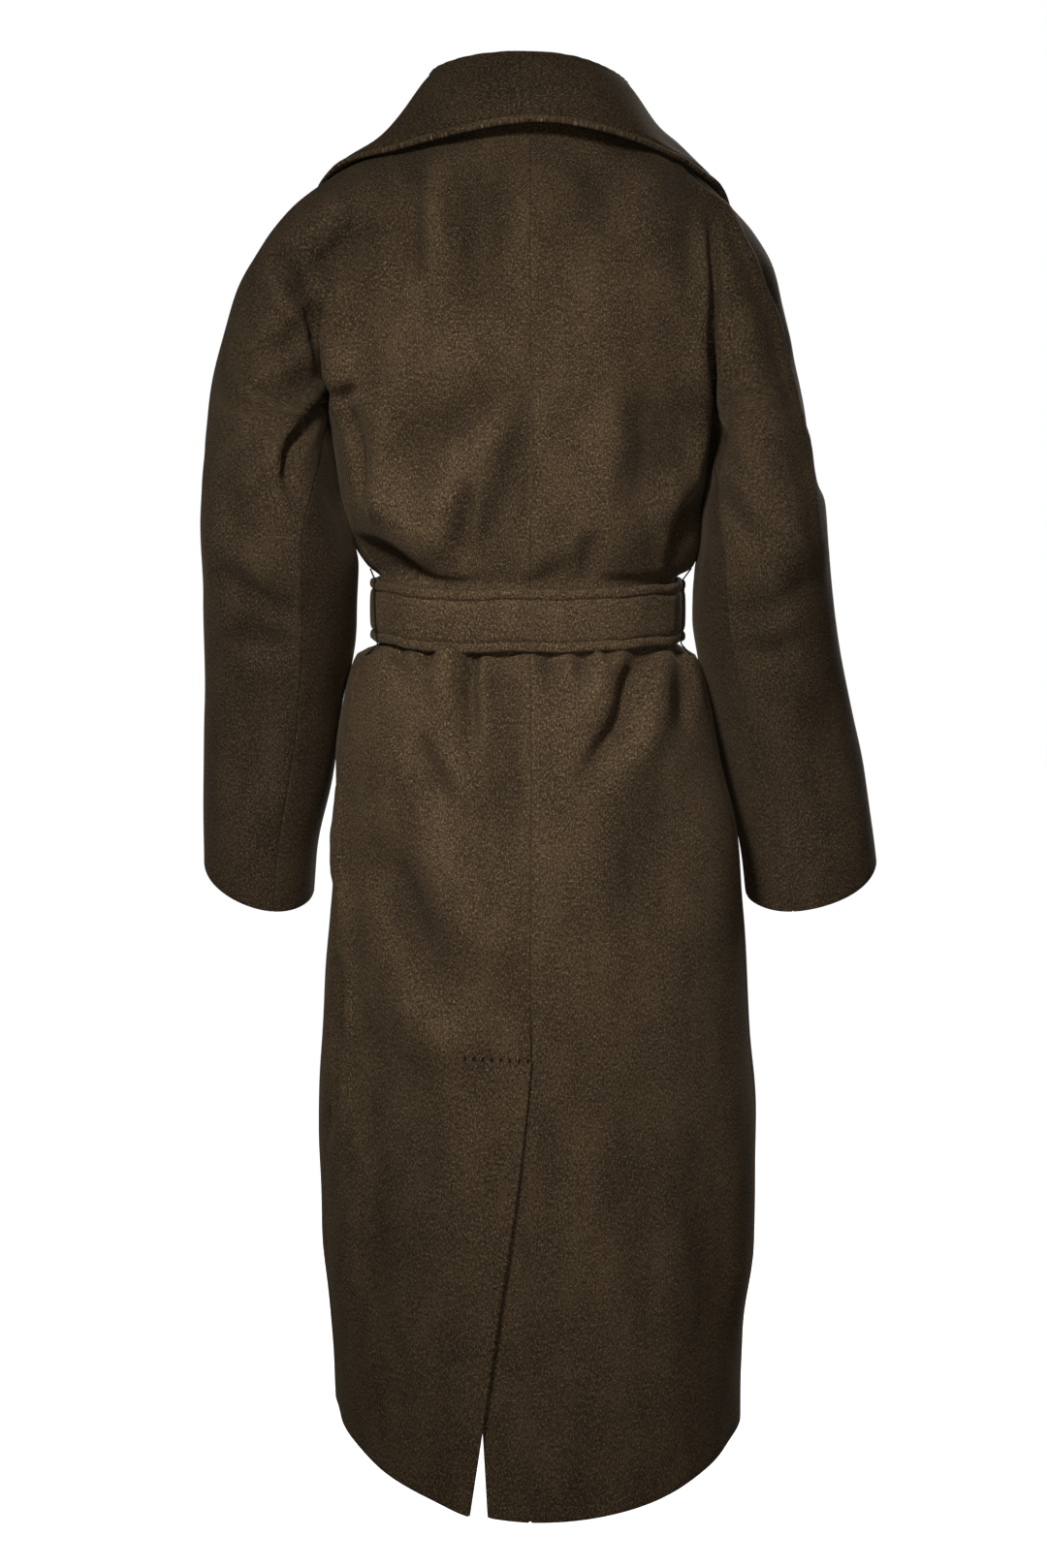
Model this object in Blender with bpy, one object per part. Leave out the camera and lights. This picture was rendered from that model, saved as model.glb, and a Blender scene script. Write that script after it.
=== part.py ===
"""Long belted wrap coat with cut-on sleeves, in the form it takes when worn, with nobody in it.

Metres, +Z up, the front faces -Y and the wearer's left is +X. The origin is the middle of the neck at
the height of the nape. Every cloth panel is a wall lofted through level sections: the body is a
superellipse, each sleeve an ellipse, and above the armpits both run into one outline with a crease
between them. The largest folds are soft troughs and ridges along the lines of a table.
"""

from collections import namedtuple

import bmesh
import bpy
import numpy as np
from mathutils import Vector
from mathutils.bvhtree import BVHTree

NAME = "teddy_coat"

# Cloth and seams: the walls, the gap at a seam, the air between layers, how far a panel is lifted over
# the layer beneath it, how far the lift runs on past that layer, and over what distance it dies away
WALL = 0.003
COLLAR_WALL = 0.004
SEAM_GAP = 0.0003
LAP_AIR = 0.0008
COLLAR_AIR = 0.0034
LAP = WALL + LAP_AIR
FRONT_LAP = WALL + 2 * LAP_AIR
LAP_SPARE = 0.010
LAP_EASE = 0.040
FOLD_EASE = 0.020

# Levels, down from the nape, with the tip of the under sleeve just below the armpit, the belt, the head
# of the vent, and how the hem and the cuffs dip behind and rise at the side
ARMPIT_Z = -0.245
GUSSET_Z = ARMPIT_Z - 0.012
GUSSET_BACK = 0.009
GUSSET_GAP = 0.0022
BELT_Z = -0.404
BELT_WIDTH = 0.050
BELT_THICK = 0.006
BELT_TOP = BELT_Z + BELT_WIDTH / 2
BELT_LOW = BELT_Z - BELT_WIDTH / 2
BELT_FLARE = 0.008
SHOULDER_Z = -0.110
HIP_Z = -0.600
VENT_Z = -0.772
VENT_ROW_Z = VENT_Z + 0.020
HEM_Z = -1.074
BACK_HEM_DROP = 0.050
BACK_HEM_CURVE = 1.5
LEFT_HEM_RISE = 0.012
CUFF_Z = -0.630
CUFF_BACK_DROP = 0.020
CUFF_SIDE_RISE = 0.014

# How finely the pieces are divided
NECK_ROWS = 7
BLADE_ROWS = 7
RIB_ROWS = 7
HIP_ROWS = 7
SKIRT_ROWS = 5
VENT_ROWS = 5
SLEEVE_ROWS = 11
BODY_COLUMNS = 11
LAP_COLUMNS = 6
SLEEVE_COLUMNS = 7
OUTER_COLUMNS = 4
OUTER_TURN = np.radians(72)
UNDERLAP_COLUMNS = 3
UNDER_COLUMNS = 6
STAND_COLUMNS = 4
FALL_COLUMNS = 7
NECK_STEPS = 10
BELT_SIDES = 60
TAIL_ROWS = 12
TAIL_COLUMNS = 3
TAIL_PROBES = 7
KNOT_SEGMENTS = 20
KNOT_RINGS = 12
CARRIER_POINTS = 9
FINE = 120
FINE_STEP = 0.001
BISECTIONS = 60

# Body sections: half widths to either side, depth behind and before the origin, squareness
Body = namedtuple("Body", "z left right back front square")
BODY = (
    Body(0.000, 0.074, 0.074, 0.058, 0.052, 2.0),
    Body(-0.030, 0.108, 0.104, 0.080, 0.074, 2.1),
    Body(-0.060, 0.145, 0.139, 0.095, 0.092, 2.2),
    Body(-0.100, 0.180, 0.177, 0.107, 0.112, 2.3),
    Body(-0.150, 0.188, 0.185, 0.115, 0.126, 2.3),
    Body(-0.200, 0.179, 0.167, 0.118, 0.133, 2.3),
    Body(-0.245, 0.1655, 0.1480, 0.118, 0.133, 2.3),
    Body(-0.270, 0.1620, 0.1460, 0.117, 0.131, 2.3),
    Body(-0.310, 0.157, 0.143, 0.115, 0.127, 2.3),
    Body(-0.345, 0.147, 0.1400, 0.110, 0.120, 2.3),
    Body(-0.368, 0.133, 0.1325, 0.102, 0.108, 2.2),
    Body(-0.378, 0.1225, 0.1190, 0.095, 0.100, 2.2),
    Body(-0.404, 0.1190, 0.1150, 0.093, 0.098, 2.2),
    Body(-0.430, 0.1225, 0.1185, 0.096, 0.101, 2.2),
    Body(-0.442, 0.143, 0.1360, 0.105, 0.109, 2.2),
    Body(-0.485, 0.155, 0.149, 0.121, 0.121, 2.2),
    Body(-0.525, 0.160, 0.157, 0.131, 0.128, 2.2),
    Body(-0.589, 0.162, 0.170, 0.141, 0.136, 2.2),
    Body(-0.653, 0.165, 0.175, 0.147, 0.142, 2.2),
    Body(-0.749, 0.171, 0.182, 0.153, 0.150, 2.2),
    Body(-0.845, 0.175, 0.187, 0.158, 0.156, 2.2),
    Body(-0.930, 0.171, 0.185, 0.162, 0.159, 2.2),
    Body(-1.010, 0.165, 0.177, 0.165, 0.161, 2.2),
    Body(-1.080, 0.161, 0.175, 0.167, 0.162, 2.2),
    Body(-1.150, 0.159, 0.174, 0.168, 0.163, 2.2),
)

# Sleeve sections: outer and inner edge from the middle of the coat, middle and half depth fore and
# aft, and the angle of the back seam of the under sleeve, from the outer edge round the back
Sleeve = namedtuple("Sleeve", "z outer inner mid depth under")
SLEEVE = {
    "left": (
        Sleeve(0.000, 0.078, 0.048, 0.000, 0.018, 180),
        Sleeve(-0.030, 0.124, 0.064, 0.000, 0.042, 180),
        Sleeve(-0.051, 0.160, 0.080, 0.000, 0.056, 180),
        Sleeve(-0.077, 0.195, 0.094, 0.000, 0.068, 180),
        Sleeve(-0.109, 0.220, 0.114, 0.000, 0.077, 180),
        Sleeve(-0.141, 0.238, 0.132, 0.000, 0.084, 180),
        Sleeve(-0.173, 0.248, 0.145, 0.000, 0.088, 180),
        Sleeve(-0.221, 0.259, 0.160, 0.002, 0.091, 180),
        Sleeve(-0.245, 0.263, 0.1653, 0.006, 0.092, 178),
        Sleeve(-0.270, 0.266, 0.1630, 0.014, 0.091, 150),
        Sleeve(-0.310, 0.267, 0.1570, 0.024, 0.089, 124),
        Sleeve(-0.345, 0.267, 0.1458, 0.026, 0.087, 113),
        Sleeve(-0.368, 0.267, 0.1405, 0.022, 0.085, 110),
        Sleeve(-0.410, 0.268, 0.1420, 0.006, 0.082, 111),
        Sleeve(-0.445, 0.269, 0.1462, -0.010, 0.079, 113),
        Sleeve(-0.485, 0.270, 0.1556, -0.025, 0.076, 115),
        Sleeve(-0.541, 0.272, 0.1650, -0.040, 0.071, 113),
        Sleeve(-0.605, 0.274, 0.1775, -0.052, 0.066, 111),
        Sleeve(-0.660, 0.274, 0.1840, -0.062, 0.062, 110),
    ),
    "right": (
        Sleeve(0.000, 0.078, 0.048, 0.000, 0.018, 180),
        Sleeve(-0.030, 0.112, 0.060, 0.000, 0.042, 180),
        Sleeve(-0.060, 0.147, 0.068, 0.000, 0.060, 180),
        Sleeve(-0.077, 0.165, 0.074, 0.000, 0.068, 180),
        Sleeve(-0.096, 0.182, 0.086, 0.000, 0.074, 180),
        Sleeve(-0.125, 0.199, 0.105, 0.000, 0.081, 180),
        Sleeve(-0.157, 0.208, 0.118, 0.000, 0.086, 180),
        Sleeve(-0.205, 0.217, 0.136, 0.001, 0.090, 180),
        Sleeve(-0.245, 0.225, 0.1478, 0.006, 0.092, 178),
        Sleeve(-0.270, 0.229, 0.1467, 0.014, 0.091, 168),
        Sleeve(-0.310, 0.234, 0.1422, 0.024, 0.089, 146),
        Sleeve(-0.345, 0.239, 0.1382, 0.026, 0.087, 132),
        Sleeve(-0.368, 0.242, 0.1345, 0.022, 0.085, 127),
        Sleeve(-0.410, 0.250, 0.1325, 0.006, 0.082, 122),
        Sleeve(-0.445, 0.257, 0.1382, -0.010, 0.079, 120),
        Sleeve(-0.485, 0.266, 0.1482, -0.025, 0.076, 118),
        Sleeve(-0.541, 0.278, 0.1600, -0.040, 0.071, 116),
        Sleeve(-0.605, 0.290, 0.1752, -0.052, 0.066, 114),
        Sleeve(-0.660, 0.296, 0.1840, -0.062, 0.062, 112),
    ),
}

# Angle of each side seam, from the centre back
Seam = namedtuple("Seam", "z left right")
SIDE_SEAM = (
    Seam(-0.245, 90, 90),
    Seam(-0.270, 88, 89),
    Seam(-0.368, 78, 82),
    Seam(-0.445, 72, 77),
    Seam(-0.560, 70, 76),
    Seam(-0.660, 65, 78),
    Seam(-0.760, 66, 80),
    Seam(-0.850, 72, 82),
    Seam(-1.150, 78, 84),
)

# Front edge of each half front, to its own side of the middle; past the middle it is negative
Edge = namedtuple("Edge", "z left right")
FRONT_EDGE = (
    Edge(0.000, 0.064, 0.064),
    Edge(-0.030, 0.067, 0.067),
    Edge(-0.060, 0.064, 0.064),
    Edge(-0.120, 0.046, 0.046),
    Edge(-0.180, 0.024, 0.024),
    Edge(-0.240, -0.002, -0.002),
    Edge(-0.300, -0.036, -0.036),
    Edge(-0.360, -0.076, -0.076),
    Edge(-0.410, -0.092, -0.092),
    Edge(-0.500, -0.096, -0.096),
    Edge(-1.150, -0.100, -0.100),
)

# Edges of the vent, from the middle to the wearer's left: the upper edge and the underlap beneath it
Vent = namedtuple("Vent", "z upper under")
VENT = (
    Vent(-0.772, 0.000, 0.056),
    Vent(-0.860, 0.008, 0.052),
    Vent(-0.980, 0.024, 0.044),
    Vent(-1.150, 0.050, 0.032),
)

# How softly the crease between body and sleeve is rounded
Crease = namedtuple("Crease", "z soft")
CREASE = (
    Crease(0.000, 0.030),
    Crease(-0.060, 0.026),
    Crease(-0.100, 0.015),
    Crease(-0.150, 0.008),
    Crease(-0.200, 0.005),
    Crease(-0.245, 0.0010),
)

# Largest folds: the line of each, how wide, and how high (troughs below 0). Each fades in and out over
# these shares of its length, and round the side over these distances from the middle of the depth.
FADE_IN = (-0.2, 0.25)
FADE_OUT = (1.2, 0.6)
FADE_SIDE = (-0.01, 0.04)
Fold = namedtuple("Fold", "part face x_top z_top x_low z_low width height")
FOLDS = (
    Fold("body", "back", 0.150, -0.320, 0.070, -0.374, 0.016, -0.008),
    Fold("body", "back", 0.060, -0.245, 0.088, -0.330, 0.034, -0.005),
    Fold("body", "back", -0.085, -0.215, -0.092, -0.350, 0.030, -0.006),
    Fold("body", "back", -0.132, -0.320, -0.108, -0.372, 0.014, -0.007),
    Fold("body", "back", 0.014, -0.240, 0.010, -0.380, 0.018, -0.003),
    Fold("body", "back", 0.018, -0.430, 0.016, -0.570, 0.018, -0.005),
    Fold("body", "back", 0.056, -0.432, 0.046, -0.520, 0.010, -0.005),
    Fold("body", "back", -0.094, -0.432, -0.048, -0.525, 0.014, -0.007),
    Fold("body", "back", 0.122, -0.600, 0.062, -0.720, 0.026, -0.007),
    Fold("body", "back", 0.090, -0.580, 0.034, -0.700, 0.026, 0.004),
)

# Collar sections by their way along the neck edge from the centre back: height and lean of the stand,
# and the place of the outer edge
Turn = namedtuple("Turn", "along stand lean x y z")
COLLAR = {
    "left": (
        Turn(0.000, 0.050, 0.012, 0.000, 0.096, -0.008),
        Turn(0.030, 0.049, 0.012, 0.035, 0.093, -0.014),
        Turn(0.058, 0.043, 0.012, 0.072, 0.078, -0.021),
        Turn(0.084, 0.033, 0.013, 0.110, 0.052, -0.030),
        Turn(0.108, 0.024, 0.012, 0.141, 0.026, -0.039),
        Turn(0.130, 0.016, 0.010, 0.162, -0.006, -0.051),
        Turn(0.155, 0.011, 0.009, 0.172, -0.045, -0.078),
        Turn(0.200, 0.008, 0.008, 0.166, -0.090, -0.125),
        Turn(0.270, 0.006, 0.006, 0.134, -0.118, -0.180),
        Turn(0.330, 0.005, 0.005, 0.084, -0.131, -0.222),
        Turn(0.375, 0.004, 0.005, 0.042, -0.138, -0.250),
        Turn(0.410, 0.004, 0.005, 0.004, -0.141, -0.271),
    ),
    "right": (
        Turn(0.000, 0.050, 0.012, 0.000, 0.096, -0.008),
        Turn(0.030, 0.047, 0.012, 0.035, 0.098, -0.011),
        Turn(0.058, 0.037, 0.011, 0.066, 0.091, -0.017),
        Turn(0.084, 0.023, 0.010, 0.092, 0.074, -0.026),
        Turn(0.108, 0.013, 0.009, 0.122, 0.038, -0.043),
        Turn(0.130, 0.010, 0.009, 0.148, -0.004, -0.060),
        Turn(0.155, 0.009, 0.009, 0.160, -0.045, -0.088),
        Turn(0.200, 0.008, 0.008, 0.156, -0.090, -0.130),
        Turn(0.270, 0.007, 0.008, 0.138, -0.118, -0.190),
        Turn(0.340, 0.007, 0.008, 0.104, -0.130, -0.245),
        Turn(0.420, 0.007, 0.008, 0.048, -0.128, -0.305),
        Turn(0.490, 0.006, 0.007, -0.022, -0.118, -0.350),
        Turn(0.535, 0.005, 0.006, -0.070, -0.112, -0.368),
    ),
}

# How the collar turns: how upright the stand is, how round the roll, how full the fall, and how far
# its direction is smoothed where the neck edge turns into the front edge
STAND_UPRIGHT = 0.6
ROLL = 0.8
FALL_HANG = 0.4
FALL_SWELL = 0.006
TURN_REACH = 0.024
TURN_STEPS = 13
SETTLE_ROUNDS = 4

# Where the right front is lifted to pass over the lower end of the left lapel
CROSSING = (0.004, -0.252)
CROSSING_REACH = 0.080
CROSSING_LIFT = 0.011

# Belt tie at the front: middle of the knot, its half sizes, and the ends that hang from it
KNOT_X = 0.012
KNOT_HALF = (0.030, 0.013, BELT_WIDTH / 2)
KNOT_ROUND = 0.8
Tail = namedtuple("Tail", "name x_top x_low length")
TAILS = (
    Tail("belt_end_left", 0.038, 0.066, 0.340),
    Tail("belt_end_right", -0.014, -0.036, 0.300),
)

# Section of the belt: shares of its thickness and width, with a stitched groove near each edge
Corner = namedtuple("Corner", "thick wide")
BELT_SECTION = (
    Corner(0.00, -0.46),
    Corner(0.60, -0.50),
    Corner(1.00, -0.42),
    Corner(0.78, -0.34),
    Corner(1.00, -0.24),
    Corner(1.00, 0.24),
    Corner(0.78, 0.34),
    Corner(1.00, 0.42),
    Corner(0.60, 0.50),
    Corner(0.00, 0.46),
)

# Thread loops at the side seams
CARRIER_RADIUS = 0.0007
CARRIER_REACH = 0.010
CARRIER_BOW = BELT_THICK + 0.005
CARRIER_ROUND = 0.6

CLOTH_COLOUR = (0.080, 0.052, 0.030, 1.0)
CLOTH_ROUGH = 0.95
THREAD_COLOUR = (0.030, 0.022, 0.015, 1.0)
THREAD_ROUGH = 0.8

SIDES = {"left": 1.0, "right": -1.0}
FACES = {"back": 1.0, "front": -1.0}


class Curves:
    """Smooth curves through the columns of a table, against its first column."""

    def __init__(self, rows):
        self.rows = sorted(rows)
        self.at = np.array([row[0] for row in self.rows])

    def __call__(self, name, at):
        value = np.array([getattr(row, name) for row in self.rows], float)
        step = np.diff(self.at)
        rise = np.diff(value) / step
        before, after = rise[:-1], rise[1:]
        bends = before * after > 0
        mean = 2 * before * after / np.where(bends, before + after, 1)
        slope = np.concatenate([rise[:1], np.where(bends, mean, 0), rise[-1:]])
        at = np.clip(at, self.at[0], self.at[-1])
        i = np.clip(np.searchsorted(self.at, at) - 1, 0, len(step) - 1)
        t = (at - self.at[i]) / step[i]
        low = value[i] * (1 + 2 * t) * (1 - t) ** 2 + slope[i] * step[i] * t * (1 - t) ** 2
        high = value[i + 1] * t ** 2 * (3 - 2 * t) + slope[i + 1] * step[i] * t ** 2 * (t - 1)
        return low + high


BODY_AT = Curves(BODY)
SLEEVE_AT = {side: Curves(rows) for side, rows in SLEEVE.items()}
SEAM_AT = Curves(SIDE_SEAM)
EDGE_AT = Curves(FRONT_EDGE)
VENT_AT = Curves(VENT)
CREASE_AT = Curves(CREASE)


def collar_curves(side):
    """Curves of one half of the collar, which run on smoothly past the centre back."""
    beyond = COLLAR["right" if side == "left" else "left"][1:3]
    mirrored = [row._replace(along=-row.along, x=-row.x) for row in beyond]
    return Curves(mirrored + list(COLLAR[side]))


COLLAR_AT = {side: collar_curves(side) for side in SIDES}


def ease(value, start, end):
    """Smooth step from 0 at start to 1 at end."""
    t = np.clip((value - start) / (end - start), 0, 1)
    return t * t * (3 - 2 * t)


def signed_power(value, power):
    return np.sign(value) * np.abs(value) ** power


def unit(vectors):
    return vectors / np.linalg.norm(vectors, axis=-1, keepdims=True)


def lengths(line):
    """Distance along a line at each of its points."""
    steps = np.linalg.norm(np.diff(line, axis=0), axis=1)
    return np.concatenate([[0.0], np.cumsum(steps)])


def points_at(line, distances):
    """Points of a line at given distances along it."""
    along = lengths(line)
    return np.stack([np.interp(distances, along, line[:, k]) for k in range(line.shape[1])], -1)


def body_width(side, across, z):
    """Half width of the body on the side where a distance across lies."""
    other = "right" if side == "left" else "left"
    return np.where(across >= 0, BODY_AT(side, z), BODY_AT(other, z))


def body_point(side, angle, z):
    """Points of the body's outer face; the angle runs from the centre back round the wearer's side."""
    angle, z = np.broadcast_arrays(angle, z)
    power = 2 / BODY_AT("square", z)
    deep = np.where(np.cos(angle) >= 0, BODY_AT("back", z), BODY_AT("front", z))
    x = SIDES[side] * body_width(side, np.sin(angle), z) * signed_power(np.sin(angle), power)
    y = deep * signed_power(np.cos(angle), power)
    return np.stack([x, y, z], -1)


def body_angle(side, face, across, z):
    """Angle at which the back or the front of the body reaches a distance across."""
    angle = np.arcsin(signed_power(across / body_width(side, across, z), BODY_AT("square", z) / 2))
    return angle if face == "back" else np.pi - angle


def sleeve_point(side, angle, z):
    """Points of a sleeve's outer face; the angle runs from the outer edge round the back."""
    angle, z = np.broadcast_arrays(angle, z)
    at = SLEEVE_AT[side]
    outer, inner = at("outer", z), at("inner", z)
    x = SIDES[side] * ((outer + inner) / 2 + (outer - inner) / 2 * np.cos(angle))
    y = at("mid", z) + at("depth", z) * np.sin(angle)
    return np.stack([x, y, z], -1)


def crease_across(side, face, z):
    """Distance across at which body and sleeve meet, above the armpit."""
    at = SLEEVE_AT[side]
    outer, inner = at("outer", z), at("inner", z)
    wide, deep, square = BODY_AT(side, z), BODY_AT(face, z), BODY_AT("square", z)
    low, high = inner, wide
    for _ in range(BISECTIONS):
        across = (low + high) / 2
        body = deep * (1 - (across / wide) ** square) ** (1 / square)
        round_off = 1 - ((2 * across - outer - inner) / (outer - inner)) ** 2
        sleeve = FACES[face] * at("mid", z) + at("depth", z) * np.sqrt(round_off)
        low, high = (across, high) if body > sleeve else (low, across)
    return (low + high) / 2


def soften(line, corner, soft):
    """Round a line's corner, which lies a distance along it, by a running mean that fades away from it."""
    count = int(lengths(line)[-1] / FINE_STEP)
    step = lengths(line)[-1] / count
    even = points_at(line, np.arange(count + 1) * step)
    reach = min(int(4 * soft / step) + 1, count - 1)
    kernel = np.exp(-0.5 * (np.arange(-reach, reach + 1) * step / soft) ** 2)
    head = 2 * even[0] - even[reach:0:-1]
    tail = 2 * even[-1] - even[-2:-reach - 2:-1]
    padded = np.concatenate([head, even, tail])
    smooth = [np.convolve(padded[:, k], kernel / kernel.sum(), "valid") for k in range(3)]
    near = np.exp(-((np.arange(count + 1) * step - corner) / (3 * soft)) ** 2)
    return even + (np.stack(smooth, -1) - even) * near[:, None]


def sleeve_turns(inner):
    """Angles that divide half a sleeve from its inner angle to the over-arm seam: the outer columns
    stay where they are while the inner ones run round to the armpit."""
    turn = min(OUTER_TURN, inner * OUTER_COLUMNS / SLEEVE_COLUMNS)
    inside = np.linspace(inner, turn, SLEEVE_COLUMNS - OUTER_COLUMNS + 1)
    return np.append(inside, np.linspace(turn, 0, OUTER_COLUMNS + 1)[1:])


def merged_row(side, face, z):
    """One level above the armpit, from the middle over the crease to the over-arm seam."""
    start = 0.0 if face == "back" else EDGE_AT(side, z)
    meet = crease_across(side, face, z)
    angles = np.linspace(body_angle(side, face, start, z), body_angle(side, face, meet, z), FINE)
    body = body_point(side, angles, z)
    outer, inner = SLEEVE_AT[side]("outer", z), SLEEVE_AT[side]("inner", z)
    angle = np.arccos((2 * meet - outer - inner) / (outer - inner))
    turned = np.linspace(0, angle, FINE)
    sleeve = sleeve_point(side, FACES[face] * (angle - turned), z)
    corner = lengths(body)[-1]
    line = soften(np.concatenate([body, sleeve[1:]]), corner, CREASE_AT("soft", z))
    inside = np.linspace(0, corner, BODY_COLUMNS + 1)
    share = np.interp(angle - sleeve_turns(angle), turned, lengths(sleeve)) / lengths(sleeve)[-1]
    outside = corner + share * (lengths(line)[-1] - corner)
    return points_at(line, np.append(inside, outside[1:]))


def spread(points_of, start, end, count):
    """Angles from start to end that divide a line of points evenly."""
    angles = np.linspace(start, end, FINE)
    along = lengths(points_of(angles))
    return np.interp(np.linspace(0, along[-1], count + 1), along, angles)


def hem_level(side, angle, z):
    """Level of a body point: rows sink towards the hem at the back and rise at the left."""
    sink = BACK_HEM_DROP * np.clip(np.cos(angle), 0, 1) ** BACK_HEM_CURVE
    rise = LEFT_HEM_RISE * np.clip(SIDES[side] * np.sin(angle), 0, 1)
    return z + (rise - sink) * ease(z, BELT_Z - BELT_WIDTH, HEM_Z)


def body_row(side, face, z, start):
    """One level of the body below the armpit, from a distance across to the side seam."""
    seam = np.radians(SEAM_AT(side, z))

    def outline(angle):
        return body_point(side, angle, z)

    angles = spread(outline, body_angle(side, face, start, z), seam, BODY_COLUMNS)
    if face == "front":
        wide = max(-start, LAP_SPARE)
        across = np.append(np.linspace(-wide, wide, LAP_COLUMNS), wide + LAP_SPARE)
        lapped = body_angle(side, face, across, z)
        rest = spread(outline, lapped[-1], seam, BODY_COLUMNS - LAP_COLUMNS)
        angles += (np.append(lapped, rest[1:]) - angles) * ease(-start, LAP_SPARE, LAP_EASE)
    return body_point(side, angles, hem_level(side, angles, z))


def underlap_row(z):
    """One level of the right back's underlap, from its free edge to the centre back."""
    across = np.linspace(-VENT_AT("under", hem_level("right", 0.0, z)), 0, UNDERLAP_COLUMNS + 1)
    angles = body_angle("right", "back", across, z)
    return body_point("right", angles, hem_level("right", angles, z))


def cuff_level(angle, z):
    """Level of a sleeve point: rows tilt towards the cuff, low behind and high outside."""
    tilt = CUFF_SIDE_RISE * np.cos(angle) - CUFF_BACK_DROP * np.sin(angle)
    return z + tilt * ease(z, GUSSET_Z, CUFF_Z)


def sleeve_row(side, angles, z):
    """One level of a sleeve below the armpit."""
    return sleeve_point(side, angles, cuff_level(angles, z))


def levels(*stops):
    """Levels from stops and the numbers of rows between them, by turns."""
    rows = [np.array(stops[:1])]
    for top, count, low in zip(stops[0::2], stops[1::2], stops[2::2]):
        rows.append(np.linspace(top, low, count + 1)[1:])
    return np.concatenate(rows)


UPPER_Z = levels(0.0, NECK_ROWS, SHOULDER_Z, BLADE_ROWS, ARMPIT_Z)
RIB_Z = levels(ARMPIT_Z, 1, GUSSET_Z, RIB_ROWS, BELT_TOP + BELT_FLARE, 1, BELT_TOP)
HIPS_Z = levels(BELT_LOW, 1, BELT_LOW - BELT_FLARE, HIP_ROWS, HIP_Z)
SKIRT_Z = levels(HIP_Z, SKIRT_ROWS, VENT_ROW_Z, VENT_ROWS, HEM_Z)
BODY_Z = np.concatenate([RIB_Z, [BELT_Z], HIPS_Z, SKIRT_Z[1:]])
SLEEVE_Z = levels(ARMPIT_Z, 1, GUSSET_Z, SLEEVE_ROWS, CUFF_Z)
VENT_ROW = int(np.argmin(np.abs(BODY_Z - VENT_ROW_Z)))


class Sheet:
    """One cloth panel: its outer points, its faces and its seam edges."""

    def __init__(self, name, turned):
        self.name = name
        self.turned = turned
        self.points = np.empty((0, 3))
        self.faces = []
        self.seams = []
        self.rows = {}
        self.sleeve = np.empty(0, bool)

    def add(self, points, sleeve=False):
        """Add a grid of points; return the grid of their numbers."""
        first = len(self.points)
        self.points = np.concatenate([self.points, points.reshape(-1, 3)])
        self.sleeve = np.append(self.sleeve, np.full(points[..., 0].size, sleeve))
        return first + np.arange(points[..., 0].size).reshape(points.shape[:-1])

    def face(self, *corners):
        self.faces.append(tuple(reversed(corners)) if self.turned else tuple(corners))

    def loft(self, grid):
        """Faces between the rows of a grid."""
        for upper, lower in zip(grid, grid[1:]):
            for j in range(len(upper) - 1):
                self.face(upper[j], upper[j + 1], lower[j + 1], lower[j])

    def seam(self, edge, inside, back=SEAM_GAP / 2):
        """Note an edge that is drawn back from its seam, towards the points beside it."""
        self.seams.extend((a, b, back) for a, b in zip(edge, inside))

    def drawn_back(self):
        """Outer points with the seam edges drawn back."""
        points = self.points.copy()
        for edge, inside, back in self.seams:
            points[edge] += unit(self.points[inside] - self.points[edge]) * back
        return points


def half_panel(side, face):
    """Half of the back or the front, cut in one with its half of the sleeve."""
    sheet = Sheet(face + "_" + side, SIDES[side] * FACES[face] < 0)
    upper = sheet.add(np.array([merged_row(side, face, z) for z in UPPER_Z]))
    sheet.loft(upper)

    vent = np.where(BODY_Z <= VENT_ROW_Z, VENT_AT("upper", hem_level(side, 0.0, BODY_Z)), 0.0)
    starts = {"back": vent if side == "left" else 0 * vent, "front": EDGE_AT(side, BODY_Z)}[face]
    rows = [body_row(side, face, z, start) for z, start in zip(BODY_Z[1:], starts[1:])]
    body = np.vstack([upper[-1:, :BODY_COLUMNS + 1], sheet.add(np.array(rows))])
    sheet.loft(body)
    sheet.seam(body[1:, -1], body[1:, -2])

    under = np.radians(SLEEVE_AT[side]("under", SLEEVE_Z[1:]))
    rows = [sleeve_row(side, FACES[face] * sleeve_turns(turn), z) for z, turn in zip(SLEEVE_Z[1:], under)]
    sleeve = np.vstack([upper[-1:, BODY_COLUMNS:], sheet.add(np.array(rows), sleeve=True)])
    sheet.loft(sleeve)
    sheet.seam(sleeve[1:, 0], sleeve[1:, 1])
    sheet.seam(upper[:, -1], upper[:, -2])
    sheet.seam(sleeve[1:, -1], sleeve[1:, -2])
    sheet.seam([upper[-1, BODY_COLUMNS]], [upper[-2, BODY_COLUMNS]], GUSSET_GAP)

    if face == "back":
        above = body[1:VENT_ROW] if side == "left" else body[1:]
        sheet.seam(upper[:, 0], upper[:, 1])
        sheet.seam(above[:, 0], above[:, 1])
    if sheet.name == "back_right":
        rows = [underlap_row(z)[:-1] for z in BODY_Z[VENT_ROW:]]
        sheet.loft(np.hstack([sheet.add(np.array(rows)), body[VENT_ROW:, :1]]))
    sheet.rows = {
        "top": upper[0],
        "edge": np.append(upper[:, 0], body[1:, 0]),
        "beside": np.append(upper[:, 1], body[1:, 1]),
        "armpit": [upper[-1, BODY_COLUMNS]],
        "gusset": body[1, -1],
    }
    return sheet


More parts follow.
